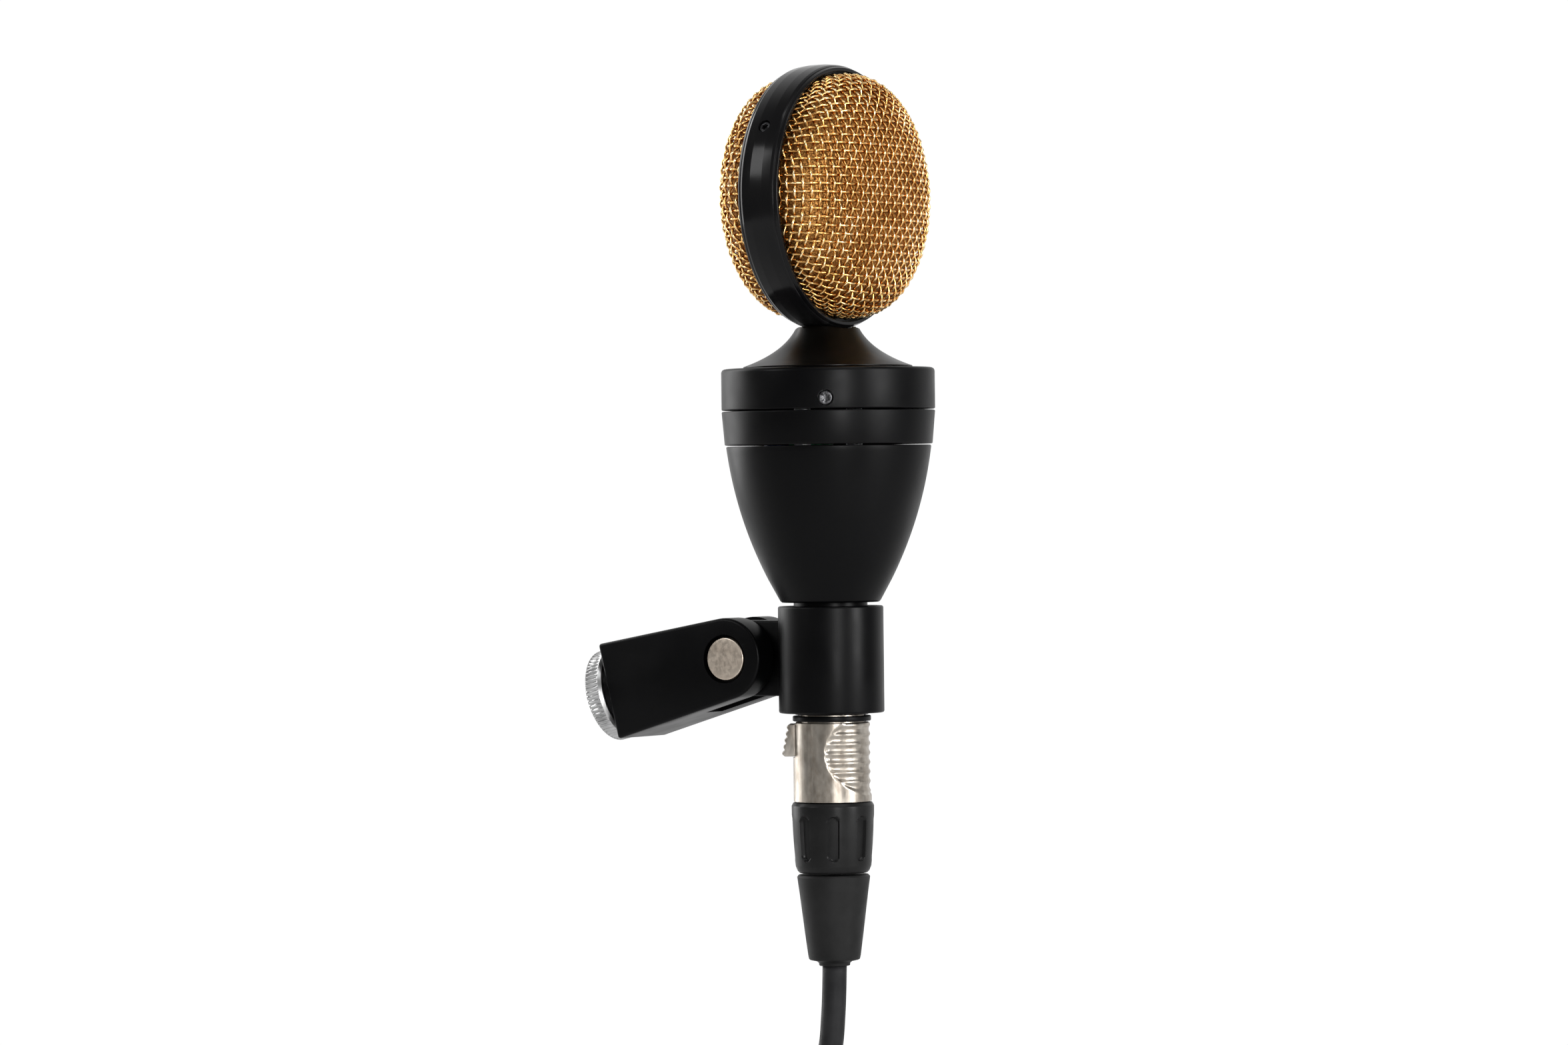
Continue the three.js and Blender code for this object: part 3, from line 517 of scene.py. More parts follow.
FINISHES = {
    "grille_wire": gold_wire(),
    "fine_mesh": fine_mesh(),
    "gloss_black": black_paint("gloss_black", (0.003, 0.003, 0.0035), (0.006, 0.0058, 0.006), 18,
                               (0.13, 0.19), 9, (0.01, 0.4), (3.5, 1.0), 0.16),
    "neck_black": black_paint("neck_black", (0.002, 0.0016, 0.0012), (0.0034, 0.0026, 0.002), 12,
                              (0.3, 0.38), 9, (0.008, 0.4), (0.3, 2.0), 0.12),
    "satin_black": black_paint("satin_black", (0.001, 0.001, 0.0012), (0.0017, 0.0017, 0.002), 25,
                               (0.32, 0.42), 14, (0.012, 0.5), (0.25, 2.0), 0.1),
    "nickel": nickel(),
    "brushed_nickel": finish("brushed_nickel", (0.6, 0.51, 0.42), (0.74, 0.645, 0.54),
                             (2.6, 3.0, (1, 0.25, 1)), (0.3, 0.42), (1.1, 3.0),
                             (0.004, 0.5), (0.3, 2.0, (1, 0.06, 1)), 1.0),
    "bright_chrome": finish("bright_chrome", grey(0.43), grey(0.56), (3.0, 3.0), (0.28, 0.38), (2.0, 3.0),
                            (0.003, 0.4), (0.5, 2.0), 1.0),
    "black_plastic": moulded_black("black_plastic", 0.009, 0.36, 0.3),
    "black_rubber": moulded_black("black_rubber", 0.011, 0.48, 0.22),
    "cable_jacket": jacket(),
    "hook_and_loop": hook_and_loop(),
    "screw_steel": worn_metal("screw_steel", (0.03, 0.03, 0.032), (0.12, 0.12, 0.125), 0.3),
    "chassis_steel": worn_metal("chassis_steel", (0.42, 0.42, 0.43), (0.6, 0.6, 0.61), 0.35, (1, 1, 0.2)),
    "capsule_brass": worn_metal("capsule_brass", (0.5, 0.36, 0.16), (0.72, 0.55, 0.28), 0.32,
                                (0.2, 1, 0.2)),
    "diaphragm_film": worn_metal("diaphragm_film", (0.74, 0.55, 0.24), (0.9, 0.7, 0.35), 0.16),
    "contact_brass": worn_metal("contact_brass", (0.7, 0.55, 0.28), (0.88, 0.74, 0.45), 0.2, (1, 1, 0.2)),
    "insulator": flat_board("insulator", grey(0.012), grey(0.022), 0.5),
    "circuit_board": flat_board("circuit_board", (0.03, 0.16, 0.07), (0.06, 0.25, 0.11), 0.4),
    "capacitor_can": flat_board("capacitor_can", (0.06, 0.08, 0.22), (0.1, 0.13, 0.32), 0.3),
    "fibre": flat_board("fibre", (0.05, 0.032, 0.02), (0.1, 0.065, 0.04), 0.7),
}
LOOKS = {name: look.material for name, look in FINISHES.items()}


def dress_inner_nodes():
    """The nodes that stay as they are, inside the case or the grilles, take the same looks."""
    slots = {entry["node"]: entry["material_slot"] for entry in frame["record"]["subparts"]}
    for name, node in frame["nodes"].items():
        node.data.materials.clear()
        node.data.materials.append(LOOKS[slots[name]])


# ---------------------------------------------------------------- head

RING_RADIUS = 32.2
RING_HALF_WIDTH = 5.5
RING_RECESS = 30.4
RING_BORE = 28.3
RING_RECESS_DEPTH = 2.4
RING_SCREW_ANGLES = {"left": 150, "right": 30}  # from +X
RING_SCREW_HOLE = 1.6
DOME_RADIUS = 30.0
DOME_DEPTH = 13.1
DOME_POWER = 2.8
WEAVE_PITCH = 2.0
WIRE_RADIUS = 0.31
WIRE_LIFTS = (0.42, 0.20)  # how far the upright wires rise and dip, then the level ones
WIRE_SIDES = 7
WIRE_STEPS = 5  # rings of the tube from one crossing to the next
NET_REACH = 26  # crossings counted from the dome's centre
HEM = -1.9  # how far the wires run in behind the ring's edge


def dome_point(theta, radius, depth, angle):
    """A point of the dome by its angle down from the apex along the outline, and round it."""
    distance = depth * math.cos(theta) ** (2 / DOME_POWER)
    across = radius * math.sin(theta) ** (2 / DOME_POWER)
    return across * math.cos(angle), across * math.sin(angle), distance


def dome_error(p, radius, depth):
    """How far a point is off the dome, as the outline's own equation, and that value's slope."""
    across = math.hypot(p[0], p[1])
    n = DOME_POWER
    value = (across / radius) ** n - 1
    slope = n * (across / radius) ** (n - 1) / radius / max(across, 1e-9)
    gradient = np.array([slope * p[0], slope * p[1], 0.0])
    if p[2] > 0:
        value += (p[2] / depth) ** n
        gradient[2] = n * (p[2] / depth) ** (n - 1) / depth
    return value, gradient


def dome_normal(p, radius, depth):
    gradient = dome_error(p, radius, depth)[1]
    return gradient / np.linalg.norm(gradient)


def solved(guess, anchors, radius, depth, plane=None):
    """The point of the dome one pitch away from each anchor, found from a guess.

    plane is an axis along which the point stays at 0.
    """
    p = np.array(guess, float)
    for _ in range(30):
        rows = []
        values = []
        for anchor in anchors:
            rows.append(2 * (p - anchor))
            values.append(np.dot(p - anchor, p - anchor) - WEAVE_PITCH ** 2)
        value, gradient = dome_error(p, radius, depth)
        rows.append(gradient * 20)
        values.append(value * 20)
        if plane is not None:
            row = np.zeros(3)
            row[plane] = 1
            rows.append(row)
            values.append(p[plane])
        step = np.linalg.lstsq(np.array(rows), -np.array(values), rcond=None)[0]
        length = np.linalg.norm(step)
        p = p + step * min(1.0, 0.8 / max(length, 1e-9))
        if length < 1e-8:
            break
    return p


def woven_net(radius, depth):
    """Where the wires cross: a cloth of even mesh laid over the dome, in (x, y, distance from the ring)."""
    reach = NET_REACH
    net = {(0, 0): np.array([0.0, 0.0, depth])}
    for i in range(1, reach + 1):
        for axis in (0, 1):
            key, last, older = [(0, k) if axis else (k, 0) for k in (i, i - 1, i - 2)]
            back = net[older] if i > 1 else net[last] - WEAVE_PITCH * np.eye(3)[axis]
            guess = 2 * net[last] - back
            net[key] = solved(guess, [net[last]], radius, depth, plane=1 - axis)
    for i in range(1, reach + 1):
        for j in range(1, reach + 1):
            if (i - 1, j) not in net or (i, j - 1) not in net:
                continue
            a, b, c = net[(i - 1, j)], net[(i, j - 1)], net[(i - 1, j - 1)]
            if max(a[2], b[2]) < HEM - 2 * WEAVE_PITCH:
                continue
            p = solved(a + b - c, [a, b], radius, depth)
            if np.linalg.norm(p - c) < 0.3 * WEAVE_PITCH or np.linalg.norm(a - b) < 0.12 * WEAVE_PITCH:
                continue
            net[(i, j)] = p
    full = {}
    for (i, j), p in net.items():
        for si in (1, -1):
            for sj in (1, -1):
                full[(si * i, sj * j)] = p * np.array([si, sj, 1.0])
    return full


def wire_path(crossings, lifts, radius, depth):
    """A wire over and under its crossings, cut off at the hem. Gives its points, lifts and normals."""
    path = []
    heights = []
    normals = []
    for k in range(len(crossings) - 1):
        a, b = crossings[k], crossings[k + 1]
        for step in range(WIRE_STEPS):
            t = step / WIRE_STEPS
            base = a * (1 - t) + b * t
            if base[2] < HEM:
                continue
            normal = dome_normal(base, radius, depth)
            swing = 0.5 - 0.5 * math.cos(math.pi * t)
            lift_and_shade = lifts[k] * (1 - swing) + lifts[k + 1] * swing
            path.append(base + normal * lift_and_shade)
            heights.append(lift_and_shade)
            normals.append(normal)
    return np.array(path), np.array(heights), np.array(normals)


def wire_tube(path, normals):
    """A wire's points, with one side always facing out of the dome, and how far out each stands."""
    tangents = unit_rows(np.gradient(path, axis=0))
    other = unit_rows(np.cross(tangents, normals))
    points = rings_round(path, np.cross(other, tangents), other, WIRE_RADIUS, WIRE_SIDES)
    angles = np.arange(WIRE_SIDES) * (2 * math.pi / WIRE_SIDES)
    return points, np.tile(np.cos(angles) * WIRE_RADIUS, len(path))


def woven_wires(net, upright, radius, depth):
    """Every wire that runs one way over the dome, as one mesh, with how high each point stands."""
    points = []
    lifts = []
    faces = []
    swing = WIRE_LIFTS[0] if upright else -WIRE_LIFTS[1]
    for line in range(-NET_REACH, NET_REACH + 1):
        keys = [(line, k) if upright else (k, line) for k in range(-NET_REACH, NET_REACH + 1)]
        run = [key for key in keys if key in net]
        if len(run) < 3:
            continue
        crossings = [net[key] for key in run]
        heights = [swing if (key[0] + key[1]) % 2 == 0 else -swing for key in run]
        path, raised, normals = wire_path(crossings, heights, radius, depth)
        if len(path) < 4:
            continue
        ring_points, spread = wire_tube(path, normals)
        first = sum(len(part) for part in points)
        points.append(ring_points)
        lifts.append(np.repeat(raised, WIRE_SIDES) + spread)
        faces.extend(tube_faces(len(path), WIRE_SIDES, first))
    reach = max(WIRE_LIFTS) + WIRE_RADIUS
    # How high each point stands, from 0 to 1. The wire's material turns it into painted shade and painted
    # highlight.
    height = np.clip((np.concatenate(lifts) + reach) / (2 * reach), 0, 1)
    return outward_many(np.concatenate(points), faces), height


def outward_many(points, faces):
    """The same test as outward(), made at once on all the four-cornered faces of a large mesh."""
    sample = np.array([face for face in faces if len(face) == 4])
    a, b, c, d = (points[sample[:, k]] for k in range(4))
    volume = np.einsum("ij,ij->i", a, np.cross(b, c)) + np.einsum("ij,ij->i", a, np.cross(c, d))
    if volume.sum() < 0:
        faces = [face[::-1] for face in faces]
    return points, faces


def grilles():
    """Both domes: upright and level wires woven over and under each other, and the fine mesh behind."""
    radius = DOME_RADIUS - WIRE_LIFTS[0] - WIRE_RADIUS
    depth = DOME_DEPTH - WIRE_LIFTS[0] - WIRE_RADIUS
    net = woven_net(radius, depth)
    ways = {
        "upright": woven_wires(net, True, radius, depth),
        "level": woven_wires(net, False, radius, depth),
    }
    to_edge = moved(0, 0, RING_HALF_WIDTH)
    for side, way_round in (("front", FRONT), ("rear", REAR)):
        for way, (shape, height) in ways.items():
            piece = new_object(f"{side}_{way}_wires", shape, HEAD @ way_round @ to_edge)
            # Each point's height goes to the material, which paints shade and highlight from it.
            lift_and_shade = piece.data.attributes.new("lift_and_shade", "FLOAT", "POINT")
            lift_and_shade.data.foreach_set("value", height.astype(np.float32))
            nodes = [f"{side}_grille"] if way == "upright" else []
            finished(piece, "microphone", "grille_wire", nodes, sharp=80)
        liner(side, HEAD @ way_round)


def liner(side, where):
    """The fine inner mesh, a thin cup just behind the wires."""
    outline = []
    for inset in (1.75, 2.1):
        radius = DOME_RADIUS - inset
        depth = DOME_DEPTH - inset
        stretch = [(radius, RING_HALF_WIDTH - 1.8)]
        for step in range(1, 33):
            theta = (math.pi / 2) * (1 - step / 32)
            across, _, distance = dome_point(theta, radius, depth, 0)
            stretch.append((across if step < 32 else 0.0, RING_HALF_WIDTH + distance))
        outline.extend(stretch if inset < 2 else stretch[::-1])
    piece = new_object(f"{side}_fine_mesh", lathe(outline, 96), where)
    finished(piece, "microphone", "fine_mesh", [f"{side}_inner_mesh"])


def head_ring():
    """The band between the domes: crowned, with a bevel and a fine shadow line along each edge."""
    half = RING_HALF_WIDTH
    ledge = half - RING_RECESS_DEPTH
    side = [
        (RING_RADIUS, 1.6, 2.0),
        (RING_RADIUS - 0.25, 3.9, 0.6),
        (RING_RADIUS - 0.5, 4.45, 0.12),
        (RING_RADIUS - 0.75, 4.62, 0.1),
        (RING_RADIUS - 0.7, 4.85, 0.15),
        (RING_RADIUS - 0.95, half, 0.22),
        (RING_RECESS, half, 0.15),
        (RING_RECESS, ledge),
        (RING_BORE, ledge),
    ]
    outline = side + [(point[0], -point[1], *point[2:]) for point in reversed(side)]
    shape = lathe(rounded(outline), 256)
    ring = new_object("head_ring_band", shape, HEAD @ FRONT)
    places = {place: HEAD @ turned_by(90 - angle, "Y") for place, angle in RING_SCREW_ANGLES.items()}
    holes = [cylinder(RING_SCREW_HOLE, RING_BORE - 2, RING_RADIUS + 1, 48, at) for at in places.values()]
    combined(ring, holes, "DIFFERENCE")
    finished(ring, "microphone", "gloss_black", ["head_ring"])
    for place, at in places.items():
        face = RING_RADIUS - 0.45
        socket_screw(f"ring_screw_{place}_head", RING_SCREW_HOLE - 0.15, at, face, [f"ring_screw_{place}"])


def socket_screw(name, radius, where, face, nodes):
    """A small round screw sunk flush, with a six-lobed socket. Its axis is +Z and its face is at face."""
    outline = [(0, face - 2.4), (radius, face - 2.4), (radius, face, 0.22), (0, face)]
    screw = new_object(name, lathe(rounded(outline, False), 48, False), where)
    lobes = 6

    def star(angle, radii, _height):
        return radii * (1 + 0.16 * np.cos(lobes * angle))

    socket = lathe([(0, face - 1.0), (radius * 0.52, face - 1.0), (radius * 0.58, face + 1), (0, face + 1)],
                   72, False, star)
    combined(screw, [new_object("socket", socket, where)], "DIFFERENCE")
    bevelled(screw, 0.06, 2, 50)
    return finished(screw, "microphone", "screw_steel", nodes)


# ---------------------------------------------------------------- neck, cap and bell

DRUM_RADIUS = 26.0
CAP_TOP = 70.6
CAP_BOTTOM = 60.55
DRUM_BORE = DRUM_RADIUS - 2.6
NECK_GAP = 0.3  # between the cap and the neck's foot
NECK_FOOT = (20.6, 71.1)
NECK_BEND = (9.75, 74.85)
NECK_WAIST = (7.15, 81.6)
MID_RING_TOP = 60.25
MID_RING_BOTTOM = 52.05
CAP_SCREW_HEIGHT = 63.1
CAP_SCREW_HOLE = 2.0
CAP_SCREW_ANGLES = {"front_left": -150, "front_right": -30, "back": 90}  # from +X
SHELL_TOP = (25.0, 51.75)
SHELL_KNEE = (15.05, 19.25)
SHELL_BOTTOM = (12.1, 14.1)
SHELL_CURVE_RADIUS = 97.6
STEM_CLEARANCE = 9.3


def bezier(points, steps):
    """Points along a Bezier curve of any order."""
    made = []
    for step in range(steps + 1):
        t = step / steps
        layer = [Vector(p) for p in points]
        while len(layer) > 1:
            layer = [a.lerp(b, t) for a, b in zip(layer, layer[1:])]
        made.append(tuple(layer[0]))
    return made


def neck():
    """The flare between the ring and the cap. Its top follows the ring's underside."""
    flare = bezier([NECK_FOOT, NECK_BEND, NECK_WAIST], 28)
    foot = CAP_TOP + NECK_GAP
    outline = [(0, 66), (9, 66), (9, foot), (NECK_FOOT[0], foot), *flare, (7.1, 84.3), (0, 84.3)]
    points, faces = lathe(outline, 128, False)
    reach = RING_RADIUS + 0.05
    under = HEAD_HEIGHT - np.sqrt(np.maximum(reach ** 2 - points[:, 0] ** 2, 0))
    points[:, 2] = np.where(np.abs(points[:, 1]) < RING_HALF_WIDTH + 2, np.minimum(points[:, 2], under),
                            np.minimum(points[:, 2], under + 0.6))
    piece = new_object("neck_flare", (points, faces), BODY)
    finished(piece, "microphone", "gloss_black", ["neck"], look="neck_black")


def cap_and_ring():
    """The drum: the top cap with its three sunk screws, and the ring under it."""
    cap = new_object("cap_drum", lathe(rounded([
        (10, CAP_TOP - 0.1),
        (10, CAP_TOP - 3.2),
        (DRUM_BORE, CAP_TOP - 3.2),
        (DRUM_BORE, CAP_BOTTOM),
        (DRUM_RADIUS, CAP_BOTTOM, 0.3),
        (DRUM_RADIUS, CAP_TOP, 0.95),
    ]), 192), BODY)
    level = BODY @ moved(0, 0, CAP_SCREW_HEIGHT)
    places = {place: level @ turned_by(angle, "Z") @ ALONG_X for place, angle in CAP_SCREW_ANGLES.items()}
    combined(cap, [cylinder(CAP_SCREW_HOLE, 20, 30, 40, at) for at in places.values()], "DIFFERENCE")
    finished(cap, "microphone", "satin_black", ["top_cap"])
    for place, at in places.items():
        face = DRUM_RADIUS - 0.35
        socket_screw(f"cap_screw_{place}_head", CAP_SCREW_HOLE - 0.3, at, face, [f"cap_screw_{place}"])
    turned_piece("drum_lower_ring", [
        (DRUM_BORE, MID_RING_BOTTOM),
        (DRUM_RADIUS - 0.7, MID_RING_BOTTOM, 0.3),
        (DRUM_RADIUS, MID_RING_TOP, 0.3),
        (DRUM_BORE, MID_RING_TOP),
    ], 192, BODY, "microphone", "satin_black", ["mid_ring"])


def bell():
    """The shell: an arc from its rim down to the knee, then a straight cone."""
    top = Vector(SHELL_TOP)
    knee = Vector(SHELL_KNEE)
    chord = top - knee
    bulge = chord.length ** 2 / (8 * SHELL_CURVE_RADIUS)
    away = Vector((chord.y, -chord.x)).normalized()
    arc = []
    for step in range(25):
        t = step / 24
        arc.append(tuple(knee + chord * t + away * (4 * bulge * t * (1 - t))))
    arc[-1] = (*arc[-1], 0.3)
    radius, height = SHELL_BOTTOM
    outline = [
        (STEM_CLEARANCE, height - 0.4),
        (radius - 0.3, height - 0.4, 0.25),
        (radius + 0.15, height, 0.3),
        *arc,
        (SHELL_TOP[0] - 2.2, SHELL_TOP[1]),
        (12.8, SHELL_KNEE[1]),
        (STEM_CLEARANCE, 16.2),
    ]
    turned_piece("bell_shell", outline, 192, BODY, "microphone", "satin_black", ["body_shell"], sharp=28)


# ---------------------------------------------------------------- stem, collar and socket

COLLAR_RADIUS = 12.85
COLLAR_TOP = 12.8
COLLAR_BOTTOM = -13.2
TONGUE_HALF_WIDTH = 2.5
TONGUE_HALF_HEIGHT = 9.25
STEM_RADIUS = 9.0
STEM_BORE = 8.15
STEM_CORE = 6.5  # the narrower bore above the plug
STEM_TOP = 20
STEM_BOTTOM = -13.6
STEM_FLANGE = (10.3, 16.5, 18.5)  # radius, lower face and upper face
RIM_RADIUS = 9.55
RIM_TOP = -13.9
RIM_BOTTOM = -15.2
PIN_CIRCLE = 4.2
PIN_ANGLES = (90, 210, 330)


def arc_points(cx, cy, radius, start, end, steps):
    made = []
    for step in range(steps + 1):
        angle = math.radians(start + (end - start) * step / steps)
        made.append((cx + radius * math.cos(angle), cy + radius * math.sin(angle)))
    return made


def collar():
    """The sleeve round the stem, with the flat tongue that turns in the fork."""
    sleeve = new_object("collar_sleeve", lathe(rounded([
        (STEM_CLEARANCE, COLLAR_BOTTOM),
        (COLLAR_RADIUS, COLLAR_BOTTOM, 0.5),
        (COLLAR_RADIUS, COLLAR_TOP, 0.5),
        (STEM_CLEARANCE, COLLAR_TOP),
    ]), 160), BODY)
    half = TONGUE_HALF_HEIGHT
    outline = [(10.5, -half), *arc_points(MIC_TO_PIVOT, 0, half, -90, 90, 40), (10.5, half)]
    tongue = new_object("tongue", extruded(outline, -TONGUE_HALF_WIDTH, TONGUE_HALF_WIDTH), BODY)
    bevelled(tongue, 0.45, 3, 40)
    combined(sleeve, [tongue], "UNION")
    hole = cylinder(BOLT_CLEARANCE, -9, 9, 64, BODY @ moved(0, MIC_TO_PIVOT, 0) @ ALONG_X)
    combined(sleeve, [hole], "DIFFERENCE")
    sleeve.name = "collar_and_tongue"
    finished(sleeve, "microphone", "satin_black", ["mount_collar"])


def stem():
    """The tube that hangs from the shell and holds the output socket, and the rim at its mouth."""
    turned_piece("stem_sleeve", [
        (STEM_CORE, STEM_TOP),
        (STEM_CORE, 9),
        (STEM_BORE, 9),
        (STEM_BORE, STEM_BOTTOM),
        (STEM_RADIUS, STEM_BOTTOM, 0.2),
        (STEM_RADIUS, STEM_FLANGE[1]),
        (STEM_FLANGE[0], STEM_FLANGE[1]),
        (STEM_FLANGE[0], STEM_FLANGE[2]),
        (STEM_RADIUS, STEM_FLANGE[2]),
        (STEM_RADIUS, STEM_TOP),
    ], 128, BODY, "microphone", "satin_black", ["stem_tube"])
    turned_piece("socket_rim_ring", [
        (STEM_BORE, RIM_BOTTOM),
        (RIM_RADIUS, RIM_BOTTOM, 0.3),
        (RIM_RADIUS, RIM_TOP, 0.3),
        (STEM_BORE, RIM_TOP),
    ], 128, BODY, "microphone", "satin_black", ["socket_rim"])


# ---------------------------------------------------------------- mount

FORK_LENGTH = 35.3
FORK_HALF_WIDTH = 10.4
FORK_END_RADIUS = 10.0
FORK_BACK_HALF_HEIGHT = 12.05
SLOT_HALF_WIDTH = 3.6
SLOT_DEPTH = 12.6
BOSS_LENGTH = 1.0
BOSS_RADIUS = 10.3
GAP = 0.3
LOCK_RING_WIDTH = 4.7
LOCK_RING_RADIUS = 11.4
LOCK_RING_TEETH = 64
ADAPTER_RADIUS = 7.6
ADAPTER_BORE_RADIUS = 4.75
ADAPTER_LENGTH = 17.5
ADAPTER_BORE_DEPTH = 14
THREAD_PITCH = 1.59
THREAD_DEPTH = 0.42
STAND_FACE = FORK_LENGTH + BOSS_LENGTH + LOCK_RING_WIDTH + 2 * GAP
BOLT_RADIUS = 3.0
BOLT_CLEARANCE = 3.3
BOLT_HEAD_RADIUS = 5.25
COUNTERBORE_RADIUS = 5.95
COUNTERBORE_DEPTH = 3.1
KNOB_RADIUS = 8.7
KNOB_WIDTH = 9.7
KNOB_FLUTES = 8


def fork():
    """The clevis that holds the tongue: two round-ended cheeks on a solid block."""
    back = FORK_BACK_HALF_HEIGHT
    tangent = math.degrees(math.asin((back - FORK_END_RADIUS) / math.hypot(FORK_LENGTH, back)))
    outline = [
        (FORK_LENGTH, -back),
        (FORK_LENGTH, back),
        *arc_points(0, 0, FORK_END_RADIUS, 90 + tangent, 270 - tangent, 48),
    ]
    block_piece = new_object("fork_block", extruded(outline, -FORK_HALF_WIDTH, FORK_HALF_WIDTH), MOUNT)
    bevelled(block_piece, 0.75, 4, 40)
    boss = cylinder(BOSS_RADIUS, FORK_LENGTH - 1, FORK_LENGTH + BOSS_LENGTH, 128, MOUNT @ REAR)
    combined(block_piece, [boss], "UNION")
    slot = block((-SLOT_HALF_WIDTH, SLOT_HALF_WIDTH), (-15, SLOT_DEPTH), (-16, 16))
    seat = STAND_FACE - ADAPTER_LENGTH - GAP
    combined(block_piece, [
        new_object("slot", slot, MOUNT),
        cylinder(BOLT_CLEARANCE, -15, 15, 64, MOUNT @ ALONG_X),
        cylinder(COUNTERBORE_RADIUS, -15, -FORK_HALF_WIDTH + COUNTERBORE_DEPTH, 96, MOUNT @ ALONG_X),
        cylinder(ADAPTER_RADIUS + GAP, seat, FORK_LENGTH + 3, 96, MOUNT @ REAR),
    ], "DIFFERENCE")
    bevelled(block_piece, 0.22, 3, 50)
    finished(block_piece, "mount", "satin_black", ["fork"])


def pivot():
    """The bolt with its brushed face, its washers, and the fluted knob on the far side."""
    face = -FORK_HALF_WIDTH + 0.35
    turned_piece("bolt", [
        (0, face - 0.12),
        (BOLT_HEAD_RADIUS - 1.4, face - 0.04),
        (BOLT_HEAD_RADIUS, face, 0.35),
        (BOLT_HEAD_RADIUS, face + 2.4),
        (BOLT_RADIUS, face + 2.4),
        (BOLT_RADIUS, FORK_HALF_WIDTH + KNOB_WIDTH - 1.5),
        (0, FORK_HALF_WIDTH + KNOB_WIDTH - 1.5),
    ], 128, MOUNT @ ALONG_X, "mount", "nickel", ["pivot_bolt"], look="brushed_nickel")
    for side, sign in (("left", -1), ("right", 1)):
        inner = TONGUE_HALF_WIDTH + 0.25
        turned_piece(f"washer_{side}", [
            (BOLT_CLEARANCE, inner),
            (8, inner, 0.15),
            (8, inner + 0.6, 0.15),
            (BOLT_CLEARANCE, inner + 0.6),
        ], 96, MOUNT @ turned_by(90 * sign, "Y"), "mount", "fibre", [f"friction_washer_{side}"])
    start = FORK_HALF_WIDTH + GAP
    end = start + KNOB_WIDTH

    def fluted(angle, radii, height):
        lobe = np.clip(np.cos(KNOB_FLUTES * angle), 0, 1) ** 1.5
        grip = np.clip((height - start - 1.6) / 0.8, 0, 1) * (radii > KNOB_RADIUS - 1.5)
        return radii - 0.85 * lobe * grip

    turned_piece("knob_grip", [
        (0, end - 0.5),
        (5.2, end - 0.5, 0.5),
        (5.7, end, 0.5),
        (KNOB_RADIUS, end, 1.0),
        (KNOB_RADIUS, start + 7.2),
        (KNOB_RADIUS, start + 5.2),
        (KNOB_RADIUS, start + 3.2),
        (KNOB_RADIUS, start + 2.0, 0.7),
        (6.5, start + 1.5, 0.3),
        (6.5, start),
        (BOLT_CLEARANCE, start),
        (BOLT_CLEARANCE, end - 1.2),
        (0, end - 1.2),
    ], 192, MOUNT @ ALONG_X, "knob", "black_plastic", ["pivot_knob"], fluted)


def stand_thread():
    """The adapter with the stand's thread in its bore, and the knurled ring that locks it."""
    inner_end = STAND_FACE - ADAPTER_LENGTH
    bore_end = STAND_FACE - ADAPTER_BORE_DEPTH
    outline = [
        (0, inner_end),
        (ADAPTER_RADIUS, inner_end, 0.4),
        (ADAPTER_RADIUS, STAND_FACE, 0.3),
        (ADAPTER_BORE_RADIUS + 0.35, STAND_FACE),
    ]
    turns = int((ADAPTER_BORE_DEPTH - 0.8) / THREAD_PITCH)
    for turn in range(turns):
        top = STAND_FACE - 0.4 - turn * THREAD_PITCH
        outline.append((ADAPTER_BORE_RADIUS, top))
        outline.append((ADAPTER_BORE_RADIUS - THREAD_DEPTH, top - 0.45 * THREAD_PITCH, 0.06))
        outline.append((ADAPTER_BORE_RADIUS, top - 0.9 * THREAD_PITCH))
    outline += [(ADAPTER_BORE_RADIUS, bore_end), (0, bore_end)]
    turned_piece("adapter", outline, 128, MOUNT @ REAR, "mount", "bright_chrome", ["thread_adapter"])
    low = FORK_LENGTH + BOSS_LENGTH + GAP
    high = low + LOCK_RING_WIDTH

    def knurled(angle, radii, height):
        tooth = np.abs(((angle * LOCK_RING_TEETH / (2 * math.pi)) % 1) - 0.5) * 2
        depth = np.clip(np.minimum(height - low - 0.75, high - 0.3 - height) / 0.3, 0, 1)
        return radii - 0.4 * np.clip(1.5 * tooth - 0.25, 0, 1) * depth * (radii > LOCK_RING_RADIUS - 0.5)

    turned_piece("knurled_ring", [
        (ADAPTER_RADIUS + GAP, low, 0.2),
        (LOCK_RING_RADIUS - 0.7, low, 0.15),
        (LOCK_RING_RADIUS, low + 0.7, 0.1),
        (LOCK_RING_RADIUS, low + 1.1),
        (LOCK_RING_RADIUS, (low + high) / 2),
        (LOCK_RING_RADIUS, high - 0.65),
        (LOCK_RING_RADIUS, high - 0.3, 0.1),
        (LOCK_RING_RADIUS - 0.45, high, 0.1),
        (ADAPTER_RADIUS + GAP, high, 0.2),
    ], LOCK_RING_TEETH * 6, MOUNT @ REAR, "lock_ring", "bright_chrome", ["lock_ring"], knurled, sharp=50)


# ---------------------------------------------------------------- plug

PLUG_RADIUS = 9.5
PLUG_TOP = -15.5
PLUG_BOTTOM = -34.7
PLUG_BORE = 7.0
BOOT_TOP = -35.0
BOOT_BOTTOM = -52.1
BOOT_RADIUS = 10.05
BOOT_TAPER = 1.05  # how much narrower the boot is at its foot
RELIEF_TOP = -52.6
RELIEF_BOTTOM = -74.8
BOOT_SLOTS = 8
BOOT_SLOT_PHASE = -148  # one slot faces straight out of this angle from +X
LATCH_ANGLE = 120
LATCH_TOP = -15.8
LATCH_BOTTOM = -23.7
LATCH_OUTER = 12.1
LATCH_INNER = 7.35
LATCH_HALF_WIDTH = 3.0
GRIP_ANGLE = -73  # the middle of the ribbed hollow, from +X
GRIP_HALF_ANGLE = 88
GRIP_HEIGHT = -23.0
GRIP_HALF_HEIGHT = 10.5
GRIP_RIB_PITCH = 2.3
SEAM_ANGLE = 178


